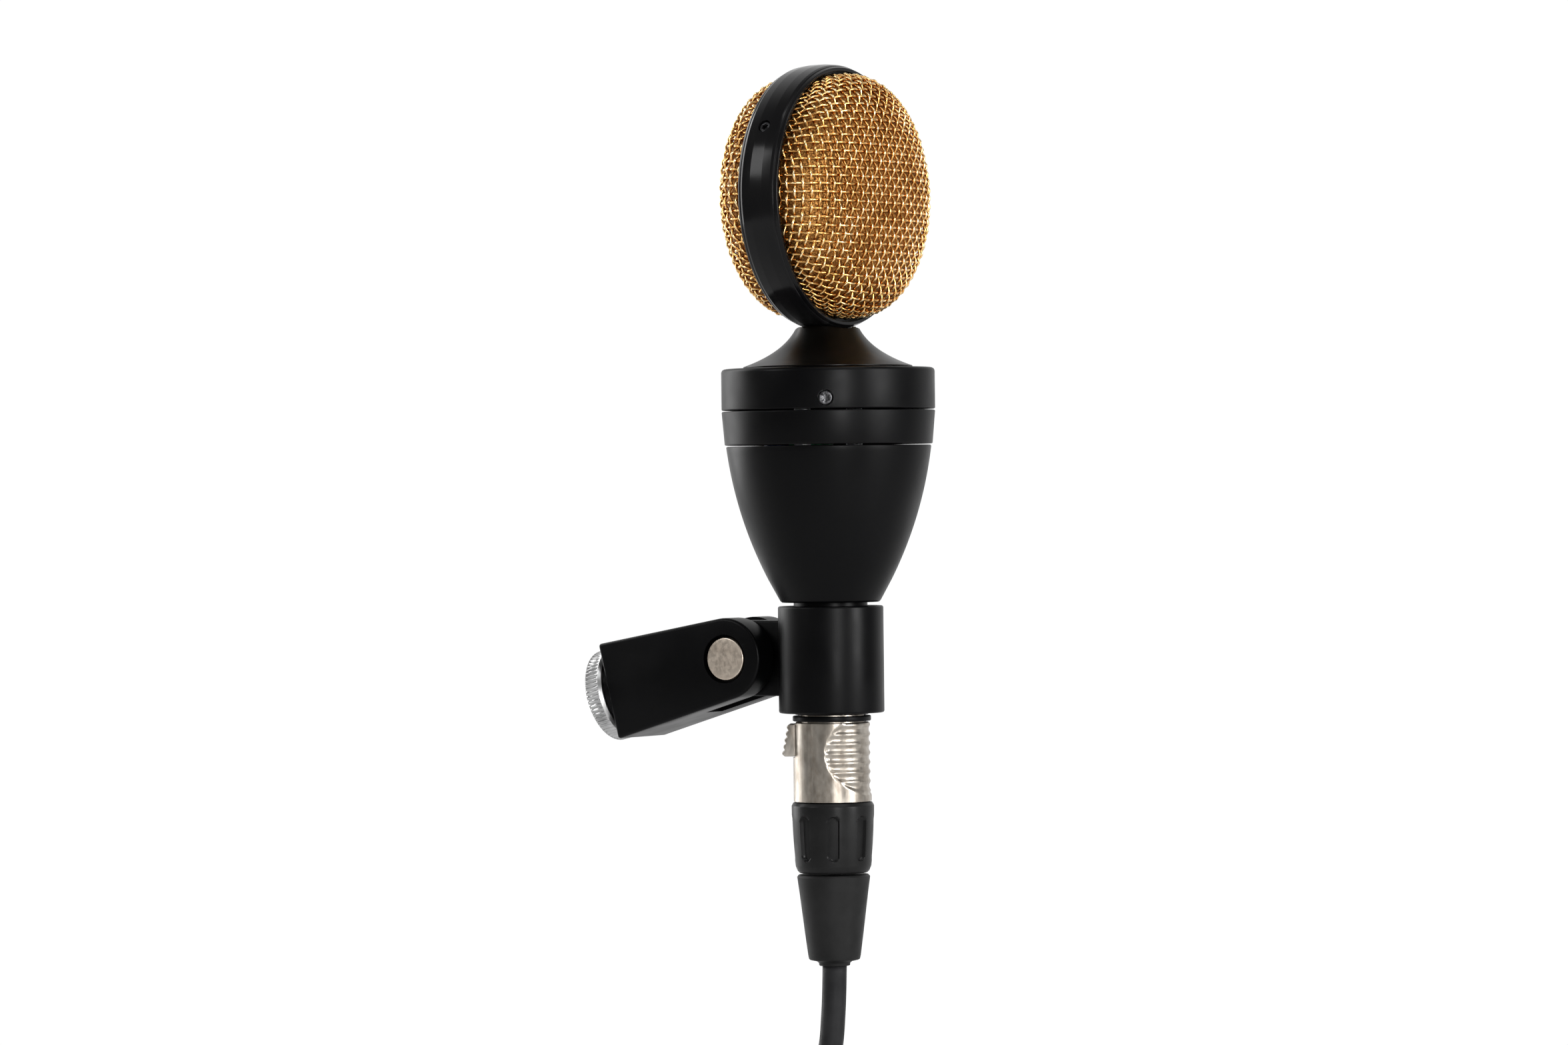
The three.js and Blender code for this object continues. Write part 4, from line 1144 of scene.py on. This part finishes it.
def even_heights(low, high, step):
    count = max(2, int(abs(high - low) / step))
    return [low + (high - low) * k / count for k in range(count + 1)]


def angle_from(angle, middle):
    """Degrees from a middle angle, between -180 and 180."""
    return (np.degrees(angle) - middle + 180) % 360 - 180


def smooth(value):
    clipped = np.clip(value, 0, 1)
    return clipped * clipped * (3 - 2 * clipped)


def hollow(angle, height, middle, half_angle, half_height):
    """How far inside an oval finger hollow a point is, from 0 at its edge to 1. middle is its place."""
    off = angle_from(angle, middle[0]) / half_angle
    level = (height - middle[1]) / half_height
    return smooth((1 - off ** 2 - level ** 2) / 0.16)


def groove(height, start):
    """The ribs across a hollow: 0 on a rib, with one at the start height, and 1 between two."""
    return 1 - (0.5 + 0.5 * np.cos(2 * math.pi * (height - start) / GRIP_RIB_PITCH)) ** 1.6


def grip_relief(angle, radii, height):
    """The plug shell's ribbed finger hollow and its seam."""
    inside = hollow(angle, height, (GRIP_ANGLE, GRIP_HEIGHT), GRIP_HALF_ANGLE, GRIP_HALF_HEIGHT)
    seam = smooth(1 - np.abs(angle_from(angle, SEAM_ANGLE)) / 5.0)
    outer = radii > PLUG_RADIUS - 0.6
    return radii - outer * (inside * (0.22 + 0.34 * groove(height, GRIP_HEIGHT)) + 0.16 * seam)


def nickel_shell():
    """The plug's nickel shell, with the latch's opening cut through it."""
    outline = [(PLUG_BORE, -3.0), (7.85, -3.0, 0.3), (7.85, PLUG_TOP)]
    outline += [(PLUG_RADIUS - 0.15, PLUG_TOP)]
    outline += [(PLUG_RADIUS, height) for height in even_heights(PLUG_TOP - 0.15, PLUG_BOTTOM, 0.19)]
    outline += [(PLUG_BORE, PLUG_BOTTOM)]
    shell = new_object("nickel_shell", lathe(rounded(outline), 240, True, grip_relief), BODY)
    half = LATCH_HALF_WIDTH + 0.25
    window = block((6, 14), (-half, half), (LATCH_BOTTOM - GAP, PLUG_TOP + GAP))
    combined(shell, [new_object("window", window, BODY @ turned_by(LATCH_ANGLE, "Z"))], "DIFFERENCE")
    finished(shell, "plug", "nickel", ["plug_shell"], sharp=40)


def latch():
    """The press tab: a rounded plate with ridges across its face."""
    ridges = 5
    height = LATCH_TOP - LATCH_BOTTOM
    outline = [(LATCH_INNER, LATCH_BOTTOM), (LATCH_OUTER - 0.6, LATCH_BOTTOM)]
    for ridge in range(ridges):
        base = LATCH_BOTTOM + height * ridge / ridges
        reach = LATCH_OUTER - 0.3 * ridge
        outline.append((reach, base + 0.35 * height / ridges))
        outline.append((reach, base + 0.65 * height / ridges))
        outline.append((reach - 0.7, base + height / ridges))
    outline.append((LATCH_INNER, LATCH_TOP))
    tab = extruded(outline, -LATCH_HALF_WIDTH, LATCH_HALF_WIDTH)
    tab = new_object("latch_tab", tab, BODY @ turned_by(LATCH_ANGLE - 90, "Z"))
    bevelled(tab, 0.3, 3, 25)
    finished(tab, "latch", "nickel", ["plug_latch"])


def boot_slots(top):
    """The round-ended slots round a boot whose upper edge is at top."""

    def relief(angle, radii, height):
        phase = (np.degrees(angle) - BOOT_SLOT_PHASE) * BOOT_SLOTS / 360
        across = ((phase + 0.5) % 1 - 0.5) * 2 * math.pi * 9.6 / BOOT_SLOTS
        along = np.maximum(np.abs(height - (top - 8.6)) - 4.05, 0)
        reach = np.hypot(across, along)
        return radii - 0.75 * smooth((1.45 - reach) / 0.22) * (radii > 8.6)

    return relief


def boot(name, top, where, body, nodes):
    """The slotted nut that closes the plug's shell, narrowing towards the sleeve."""
    bottom = top - (BOOT_TOP - BOOT_BOTTOM)
    outline = [(4, top + 3.5), (PLUG_BORE - 0.3, top + 3.5), (PLUG_BORE - 0.3, top), (9.6, top, 0.15)]
    outline += [(BOOT_RADIUS, top - 0.8, 0.4)]
    for height in even_heights(top - 1.4, bottom + 1.6, 0.24):
        along = (top - height) / (top - bottom)
        outline.append((BOOT_RADIUS - BOOT_TAPER * along ** 2.2, height))
    outline += [(8.75, bottom + 0.5, 0.4), (8.3, bottom, 0.2), (4, bottom)]
    shape = lathe(rounded(outline), 240, True, boot_slots(top))
    finished(new_object(name, shape, where), body, "black_plastic", nodes, sharp=50)


def relief_sleeve(name, top, where, body, nodes):
    """The tapered rubber sleeve that the cable runs out of."""
    length = RELIEF_TOP - RELIEF_BOTTOM
    turned_piece(name, [
        (0, top),
        (8.5, top, 0.2),
        (8.9, top - 0.5, 0.2),
        (8.35, top - 4.5),
        (7.1, top - 14.5),
        (6.42, top - length + 2.6),
        (6.2, top - length + 1.5, 0.5),
        (4.4, top - length + 1.1, 0.3),
        (3.85, top - length + 0.7, 0.2),
        (3.75, top - length, 0.2),
        (0, top - length),
    ], 128, where, body, "black_rubber", nodes)


def plug():
    nickel_shell()
    latch()
    boot("boot_nut", BOOT_TOP, BODY, "plug", ["plug_boot"])
    relief_sleeve("boot_sleeve", RELIEF_TOP, BODY, "plug", ["strain_relief"])


# ---------------------------------------------------------------- cable

CABLE_RADIUS = 3.0
TURN_PITCH = 6.2
HANK_LAYERS = 6
HANK_INNER_RADIUS = 18
HANK_STRAIGHT = 62
HANK_TOP = -134
HANK_Y = -4.9
HANK_SIDE = HANK_INNER_RADIUS + TURN_PITCH
HANK_OUTER_RADIUS = HANK_SIDE + CABLE_RADIUS + 0.2
HANK_CENTRE = HANK_TOP - HANK_OUTER_RADIUS - HANK_STRAIGHT / 2
TAIL_X = HANK_INNER_RADIUS + 2 * TURN_PITCH + 0.5
TAIL_Y = HANK_Y + 2.5 * TURN_PITCH
END_PLUG_X = 38.3
END_RELIEF_TOP = -219
END_SHELL_LENGTH = 36
END_SHELL_BORE = 8.0
END_INSERT_RADIUS = 7.7
END_GRIP_HALF_ANGLE = 62
END_GRIP_HALF_HEIGHT = 8.5
PIN_RADIUS = 1.2
EXIT = (0, 0, RELIEF_BOTTOM)
STUB_ROUTE = [
    EXIT,
    (0, 0.2, -81),
    (0, 0.5, -86.1),
]
LEAD_ROUTE = [
    (0, 1.3, -94.1),
    (0, 2.6, -99),
    (0, 4.3, -104),
    (0, 6.5, -109),
    (0, 9.0, -114),
    (0, 11.4, -119),
    (0, 13.6, -124),
    (0, 15.4, -129),
    (0, 16.3, -132.9),
]
INTO_HANK_ROUTE = [
    (0, 16.8, -139),
    (0, 16.8, -146),
    (0.6, 16.6, -152),
    (2.6, 15.9, -158),
    (6.2, 14.7, -165),
    (10.5, 13.2, -172),
    (14.3, 11.9, -179),
    (16.9, 11.0, -186),
    (17.9, 10.7, -192),
    (18, 10.6, -198),
    (18, 10.6, -210),
]
TAIL_ROUTE = [
    (TAIL_X, TAIL_Y, HANK_CENTRE + HANK_STRAIGHT / 2),
    (TAIL_X, TAIL_Y, HANK_CENTRE + 18),
    (TAIL_X, TAIL_Y, HANK_CENTRE + 4),
    (TAIL_X, TAIL_Y, HANK_CENTRE - 9),
    (TAIL_X + 1.7, TAIL_Y, HANK_CENTRE - 14),
    (END_PLUG_X - 1.7, TAIL_Y, HANK_CENTRE - 19),
    (END_PLUG_X, TAIL_Y, HANK_CENTRE - 24.5),
    (END_PLUG_X, TAIL_Y, END_RELIEF_TOP + 0.6),
]


def half_turn(from_x, to_x, from_y, to_y, top):
    """The points of a half turn at the hank's top or foot, without its two ends."""
    middle = (from_x + to_x) / 2
    radius = (to_x - from_x) / 2
    base = HANK_CENTRE + (HANK_STRAIGHT / 2 if top else -HANK_STRAIGHT / 2)
    points = []
    steps = 16
    for step in range(steps + 1):
        t = step / steps
        angle = math.pi * t
        rise = abs(radius) * math.sin(angle) * (1 if top else -1)
        points.append((middle - radius * math.cos(angle), from_y + (to_y - from_y) * t, base + rise))
    return points


def hank_route():
    """The wound cable: turns from the back forward, then wider turns from the front back."""
    inner = HANK_INNER_RADIUS
    outer = HANK_SIDE
    depths = [HANK_Y + (2.5 - layer) * TURN_PITCH for layer in range(HANK_LAYERS)]
    route = []
    for near, far in zip(depths, depths[1:]):
        route += half_turn(inner, -inner, near, near, False)
        route += half_turn(-inner, inner, near, far, True)
    route += half_turn(inner, -outer, depths[-1], depths[-1], False)
    for near, far in zip(depths[::-1], depths[-2::-1]):
        route += half_turn(-outer, outer, near, near, True)
        route += half_turn(outer, -outer, near, far, False)
    route += half_turn(-outer, TAIL_X, depths[0], depths[0], True)[:-1]
    return route


def smooth_path(route, spacing):
    """A curve through the route's points, as points about spacing apart."""
    points = np.array(route, float)
    padded = np.vstack([2 * points[0] - points[1], points, 2 * points[-1] - points[-2]])
    made = []
    for a, b, c, d in zip(padded, padded[1:], padded[2:], padded[3:]):
        steps = max(1, int(round(np.linalg.norm(c - b) / spacing)))
        gaps = [max(np.linalg.norm(q - p), 1e-6) ** 0.5 for p, q in ((a, b), (b, c), (c, d))]
        knots = np.cumsum([0] + gaps)
        for step in range(steps):
            t = knots[1] + (knots[2] - knots[1]) * step / steps
            made.append(curve_point((a, b, c, d), knots, t))
    made.append(points[-1])
    return np.array(made)


def curve_point(corners, knots, t):
    """A point of a centripetal curve between its second and third corners."""
    layer = list(corners)
    for reach in (1, 2):
        layer = [
            (p * (knots[i + reach] - t) + q * (t - knots[i])) / (knots[i + reach] - knots[i])
            for i, (p, q) in enumerate(zip(layer, layer[1:]))
        ]
    low, high = layer
    return (low * (knots[2] - t) + high * (t - knots[1])) / (knots[2] - knots[1])


def cable():
    """The whole lead, from the plug's sleeve to the far plug's."""
    route = [*STUB_ROUTE, *LEAD_ROUTE, *INTO_HANK_ROUTE, *hank_route(), *TAIL_ROUTE]
    path = smooth_path(route, 1.6)
    length = np.linalg.norm(np.diff(path, axis=0), axis=1).sum() * MM
    print(f"cable length {length:.3f} m, {len(path)} points")
    piece = new_object("lead", tube_along(path, CABLE_RADIUS, 16), BODY)
    mesh = piece.data
    mesh.polygons.foreach_set("use_smooth", [True] * len(mesh.polygons))
    mesh.materials.append(LOOKS["cable_jacket"])
    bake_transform(piece)
    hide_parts("cable_stub", "cable_lead", "cable_hank", "cable_tail")
    return piece, placed(path, BODY)


TIE_HALF_HEIGHT = 8
TIE_THICKNESS = 1.6


def hank_tie():
    """A hook-and-loop strap round the hank, with its free end lapped over at the front."""
    left = -HANK_OUTER_RADIUS - 0.3
    right = TAIL_X + CABLE_RADIUS + 0.9
    front = HANK_Y - HANK_LAYERS / 2 * TURN_PITCH - 0.3
    back = HANK_Y + (HANK_LAYERS / 2 + 1) * TURN_PITCH + 0.3
    corner = 3.4
    loop = []
    low_x, high_x, low_y, high_y = left + corner, right - corner, front + corner, back - corner
    corners = ((high_x, high_y), (low_x, high_y), (low_x, low_y), (high_x, low_y))
    for quarter, (x, y) in enumerate(corners):
        loop += arc_points(x, y, corner, 90 * quarter, 90 * quarter + 90, 8)
    inner = np.array(loop)
    outer = inner + tie_normals(inner) * TIE_THICKNESS
    lap_low = lap_line(outer)
    strap = band_mesh(inner, outer, TIE_HALF_HEIGHT, True)
    middle = BODY @ moved(0, 0, HANK_CENTRE)
    piece = new_object("tie_strap", strap, middle)
    bevelled(piece, 0.35, 2, 50)
    finished(piece, "cord", "hook_and_loop", ["hank_tie"])
    lap_high = lap_low + np.array([0, -1.1])
    flap = new_object("tie_flap", band_mesh(lap_low, lap_high, TIE_HALF_HEIGHT - 0.4, False), middle)
    bevelled(flap, 0.35, 2, 50)
    finished(flap, "cord", "hook_and_loop")
    return piece, flap


def tie_normals(loop):
    ahead = unit_rows(np.roll(loop, -1, axis=0) - np.roll(loop, 1, axis=0))
    return np.stack([ahead[:, 1], -ahead[:, 0]], axis=1)


def lap_line(outer):
    """The stretch of the strap's front face that its free end lies on."""
    start = outer[:, 0].min() + 6
    face = outer[:, 1].min() - 0.02
    return np.array([(start + (26 - start) * k / 20, face) for k in range(21)])


def band_mesh(inner, outer, half, closed):
    """A strap between two lines in (X, Y), from -half to half in Z."""
    count = len(inner)
    points = []
    for line in (inner, outer):
        for z in (-half, half):
            points += [(x, y, z) for x, y in line]
    faces = []
    for i in range(count if closed else count - 1):
        j = (i + 1) % count
        faces += [[i, j, count + j, count + i],
                  [2 * count + i, 3 * count + i, 3 * count + j, 2 * count + j],
                  [count + i, count + j, 3 * count + j, 3 * count + i],
                  [i, 2 * count + i, 2 * count + j, j]]
    if not closed:
        last = count - 1
        faces.append([0, count, 3 * count, 2 * count])
        faces.append([2 * count + last, 3 * count + last, count + last, last])
    return outward(np.array(points, float), faces)


def far_plug():
    """The plug on the lead's far end, nose down, with its three pins."""
    relief_length = RELIEF_TOP - RELIEF_BOTTOM
    boot_length = BOOT_TOP - BOOT_BOTTOM
    relief_bottom = END_RELIEF_TOP - relief_length
    boot_bottom = relief_bottom - 0.5 - boot_length
    shell_top = boot_bottom - 0.3
    shell_bottom = shell_top - END_SHELL_LENGTH
    at = BODY @ moved(END_PLUG_X, TAIL_Y, 0)
    over = turned_by(180, "X")
    relief_sleeve("far_sleeve", 0, at @ moved(0, 0, relief_bottom) @ over, "cord", ["end_plug_relief"])
    boot("far_nut", 0, at @ moved(0, 0, boot_bottom) @ over, "cord", ["end_plug_boot"])

    def ribs(angle, radii, height):
        inside = sum(
            hollow(angle, height, (side, shell_top - 12), END_GRIP_HALF_ANGLE, END_GRIP_HALF_HEIGHT)
            for side in (0, 180))
        return radii - (radii > PLUG_RADIUS - 0.6) * inside * (0.2 + 0.45 * groove(height, shell_top))

    outline = [
        (PLUG_BORE, shell_top),
        (PLUG_BORE, shell_top - 10),
        (END_SHELL_BORE, shell_top - 10),
        (END_SHELL_BORE, shell_bottom, 0.3),
        (PLUG_RADIUS - 0.35, shell_bottom, 0.2),
        (PLUG_RADIUS, shell_bottom + 0.4, 0.2),
    ]
    outline += [(PLUG_RADIUS, height) for height in even_heights(shell_bottom + 1.2, shell_top - 0.4, 0.24)]
    outline += [(PLUG_RADIUS - 0.4, shell_top, 0.2)]
    shell = new_object("far_shell", lathe(rounded(outline), 200, True, ribs), at)
    finished(shell, "cord", "nickel", ["end_plug_shell"], sharp=40)
    insert_top = shell_top - 10.3
    turned_piece("far_insert", [
        (0, insert_top - 8),
        (END_INSERT_RADIUS, insert_top - 8, 0.3),
        (END_INSERT_RADIUS, insert_top),
        (0, insert_top),
    ], 96, at, "cord", "insulator", ["end_plug_insert"])
    for index, angle in enumerate(PIN_ANGLES):
        across = PIN_CIRCLE * math.cos(math.radians(angle))
        along = PIN_CIRCLE * math.sin(math.radians(angle))
        turned_piece(f"far_pin_{index + 1}", [
            (0, shell_bottom + 5),
            (0.75, shell_bottom + 5.1, 0.3),
            (PIN_RADIUS, shell_bottom + 5.9, 0.4),
            (PIN_RADIUS, shell_bottom + 26),
            (0, shell_bottom + 26),
        ], 32, at @ moved(across, along, 0), "cord", "contact_brass", [f"end_plug_pin_{index + 1}"])


def lead():
    piece, path = cable()
    ties = hank_tie()
    far_plug()


# ---------------------------------------------------------------- camera, stage and light

CAMERA_AZIMUTH = math.radians(-58)
CAMERA_DISTANCE = 1.41
CAMERA_PITCH = math.radians(0.3)
CAMERA_ROLL = math.radians(-0.66)
CAMERA_LENS = 133
AIM_LEFT = 11.1 * MM
AIM_UP = 33.2 * MM
ROOM_SEEN = 1.02
ROOM_BEHIND = 0.95
ROOM_FRONT = 0.2
ROOM_FADE = (0.1, 0.65)  # the cosine of the angle from straight behind the object
FLOOR_RADIUS = 1.4
FLOOR_DROP = 0.012  # below the lowest point of the object
FLOOR_THICKNESS = 0.02
FLOOR_TONE = (0.68, 0.68, 0.68)
# name: (degrees round from the camera, to the right; degrees up; metres away; size; brightness)
SOFTBOXES = {
    "key_box": (58, 9, 1.8, (0.5, 0.95), 16.0),
    "left_box": (-64, 27, 1.5, (0.45, 0.55), 6.0),
    "side_box": (-124, 14, 1.4, (0.8, 1.2), 4.5),
    "front_box": (14, 4, 1.9, (0.3, 0.5), 30.0),
    "high_box": (30, 62, 1.3, (0.7, 0.6), 3.5),
}


def facing(direction):
    """Turns a camera or a light, which looks along its own -Z, to look along a direction."""
    return direction.to_track_quat("-Z", "Y").to_matrix().to_4x4()


def camera():
    toward = Vector((math.sin(CAMERA_AZIMUTH), -math.cos(CAMERA_AZIMUTH), 0))
    right = Vector((math.cos(CAMERA_AZIMUTH), math.sin(CAMERA_AZIMUTH), 0))
    aim = Vector((0, MIC_Y, PIVOT.z + AIM_UP)) - right * AIM_LEFT
    offset = toward * math.cos(CAMERA_PITCH) + Vector((0, 0, math.sin(CAMERA_PITCH)))
    data = bpy.data.cameras.new("camera")
    data.lens = CAMERA_LENS
    data.sensor_width = 36
    data.clip_start = 0.05
    data.clip_end = 100
    made = bpy.data.objects.new("camera", data)
    made.matrix_world = (
        Matrix.Translation(aim + offset * CAMERA_DISTANCE)
        @ facing(-offset)
        @ Matrix.Rotation(CAMERA_ROLL, 4, "Z")
    )
    bpy.context.scene.collection.objects.link(made)
    bpy.context.scene.camera = made
    return toward, right


def floor():
    """A plain pale floor below the lead. It fades into the white of the room towards its edge."""
    top = CAD_BOX[0][2] - FLOOR_DROP
    under = top - FLOOR_THICKNESS
    disc = [(0, top), (FLOOR_RADIUS, top), (FLOOR_RADIUS, under), (0, under)]
    piece = new_object("floor", lathe(disc, 128, False), Matrix.Identity(4))
    look = Look("pale_floor", FLOOR_TONE, 0.8, 0.0, Specular_IOR_Level=0.1)
    distance = look.node("ShaderNodeVectorMath", operation="LENGTH")
    look.link(look.place, distance.inputs[0])
    fade = look.spread(distance.outputs["Value"], 0.0, 1.0, 0.5 * FLOOR_RADIUS, 0.95 * FLOOR_RADIUS)
    mottled = look.combine("ADD", fade, look.spread(look.noise(160, 3.0), -0.01, 0.01))
    look.paint("Base Color", look.colours(mottled, [
        (0.0, FLOOR_TONE),
        (1.0, (0.0, 0.0, 0.0)),
    ]))
    look.set("Emission Color", (1, 1, 1, 1))
    look.paint("Emission Strength", look.spread(fade, 0.0, ROOM_SEEN, 0.0, 1.0))
    piece.data.materials.append(look.material)


def area_light(name, position, target, size, radiance, tint=(1, 1, 1)):
    """A softbox of the given brightness, turned to its target. It is never seen directly."""
    data = bpy.data.lights.new(name, "AREA")
    data.shape = "RECTANGLE"
    data.size, data.size_y = size
    data.energy = radiance * math.pi * size[0] * size[1]
    data.color = tint
    made = bpy.data.objects.new(name, data)
    direction = (Vector(target) - Vector(position)).normalized()
    made.matrix_world = Matrix.Translation(position) @ facing(direction)
    made.visible_camera = False
    bpy.context.scene.collection.objects.link(made)


def backdrop(toward):
    """A white room: bright to look at. As a light it is bright behind the object and dim in front."""
    world = bpy.data.worlds.new("white_room")
    bpy.context.scene.world = world
    world.use_nodes = True
    tree = world.node_tree
    tree.nodes.clear()
    kinds = ("TexCoord", "VectorMath", "MapRange", "Background", "Background", "LightPath", "MixShader",
             "OutputWorld")
    nodes = [tree.nodes.new(f"ShaderNode{kind}") for kind in kinds]
    place, behind, fade, light, seen, path, mix, output = nodes
    behind.operation = "DOT_PRODUCT"
    behind.inputs[1].default_value = -toward
    fade.interpolation_type = "SMOOTHSTEP"
    room = {"From Min": ROOM_FADE[0], "From Max": ROOM_FADE[1], "To Min": ROOM_FRONT, "To Max": ROOM_BEHIND}
    for name, value in room.items():
        fade.inputs[name].default_value = value
    for background in (light, seen):
        background.inputs["Color"].default_value = (1, 1, 1, 1)
    seen.inputs["Strength"].default_value = ROOM_SEEN
    for source, target in (
        (place.outputs["Generated"], behind.inputs[0]),
        (behind.outputs["Value"], fade.inputs["Value"]),
        (fade.outputs["Result"], light.inputs["Strength"]),
        (path.outputs["Is Camera Ray"], mix.inputs[0]),
        (light.outputs[0], mix.inputs[1]),
        (seen.outputs[0], mix.inputs[2]),
        (mix.outputs[0], output.inputs[0]),
    ):
        tree.links.new(source, target)
    bpy.context.scene.view_settings.view_transform = "Standard"


def lights(toward, right):
    middle = Vector((0, MIC_Y, PIVOT.z + 60 * MM))
    for name, (round_by, up_by, distance, size, brightness) in SOFTBOXES.items():
        level = toward * math.cos(math.radians(round_by)) + right * math.sin(math.radians(round_by))
        away = level * math.cos(math.radians(up_by)) + Vector((0, 0, math.sin(math.radians(up_by))))
        area_light(name, middle + away * distance, middle, size, brightness)


# ---------------------------------------------------------------- scene

dress_inner_nodes()
head_ring()
grilles()
neck()
cap_and_ring()
bell()
collar()
stem()
fork()
pivot()
stand_thread()
plug()
lead()
toward_camera, camera_right = camera()
floor()
backdrop(toward_camera)
lights(toward_camera, camera_right)
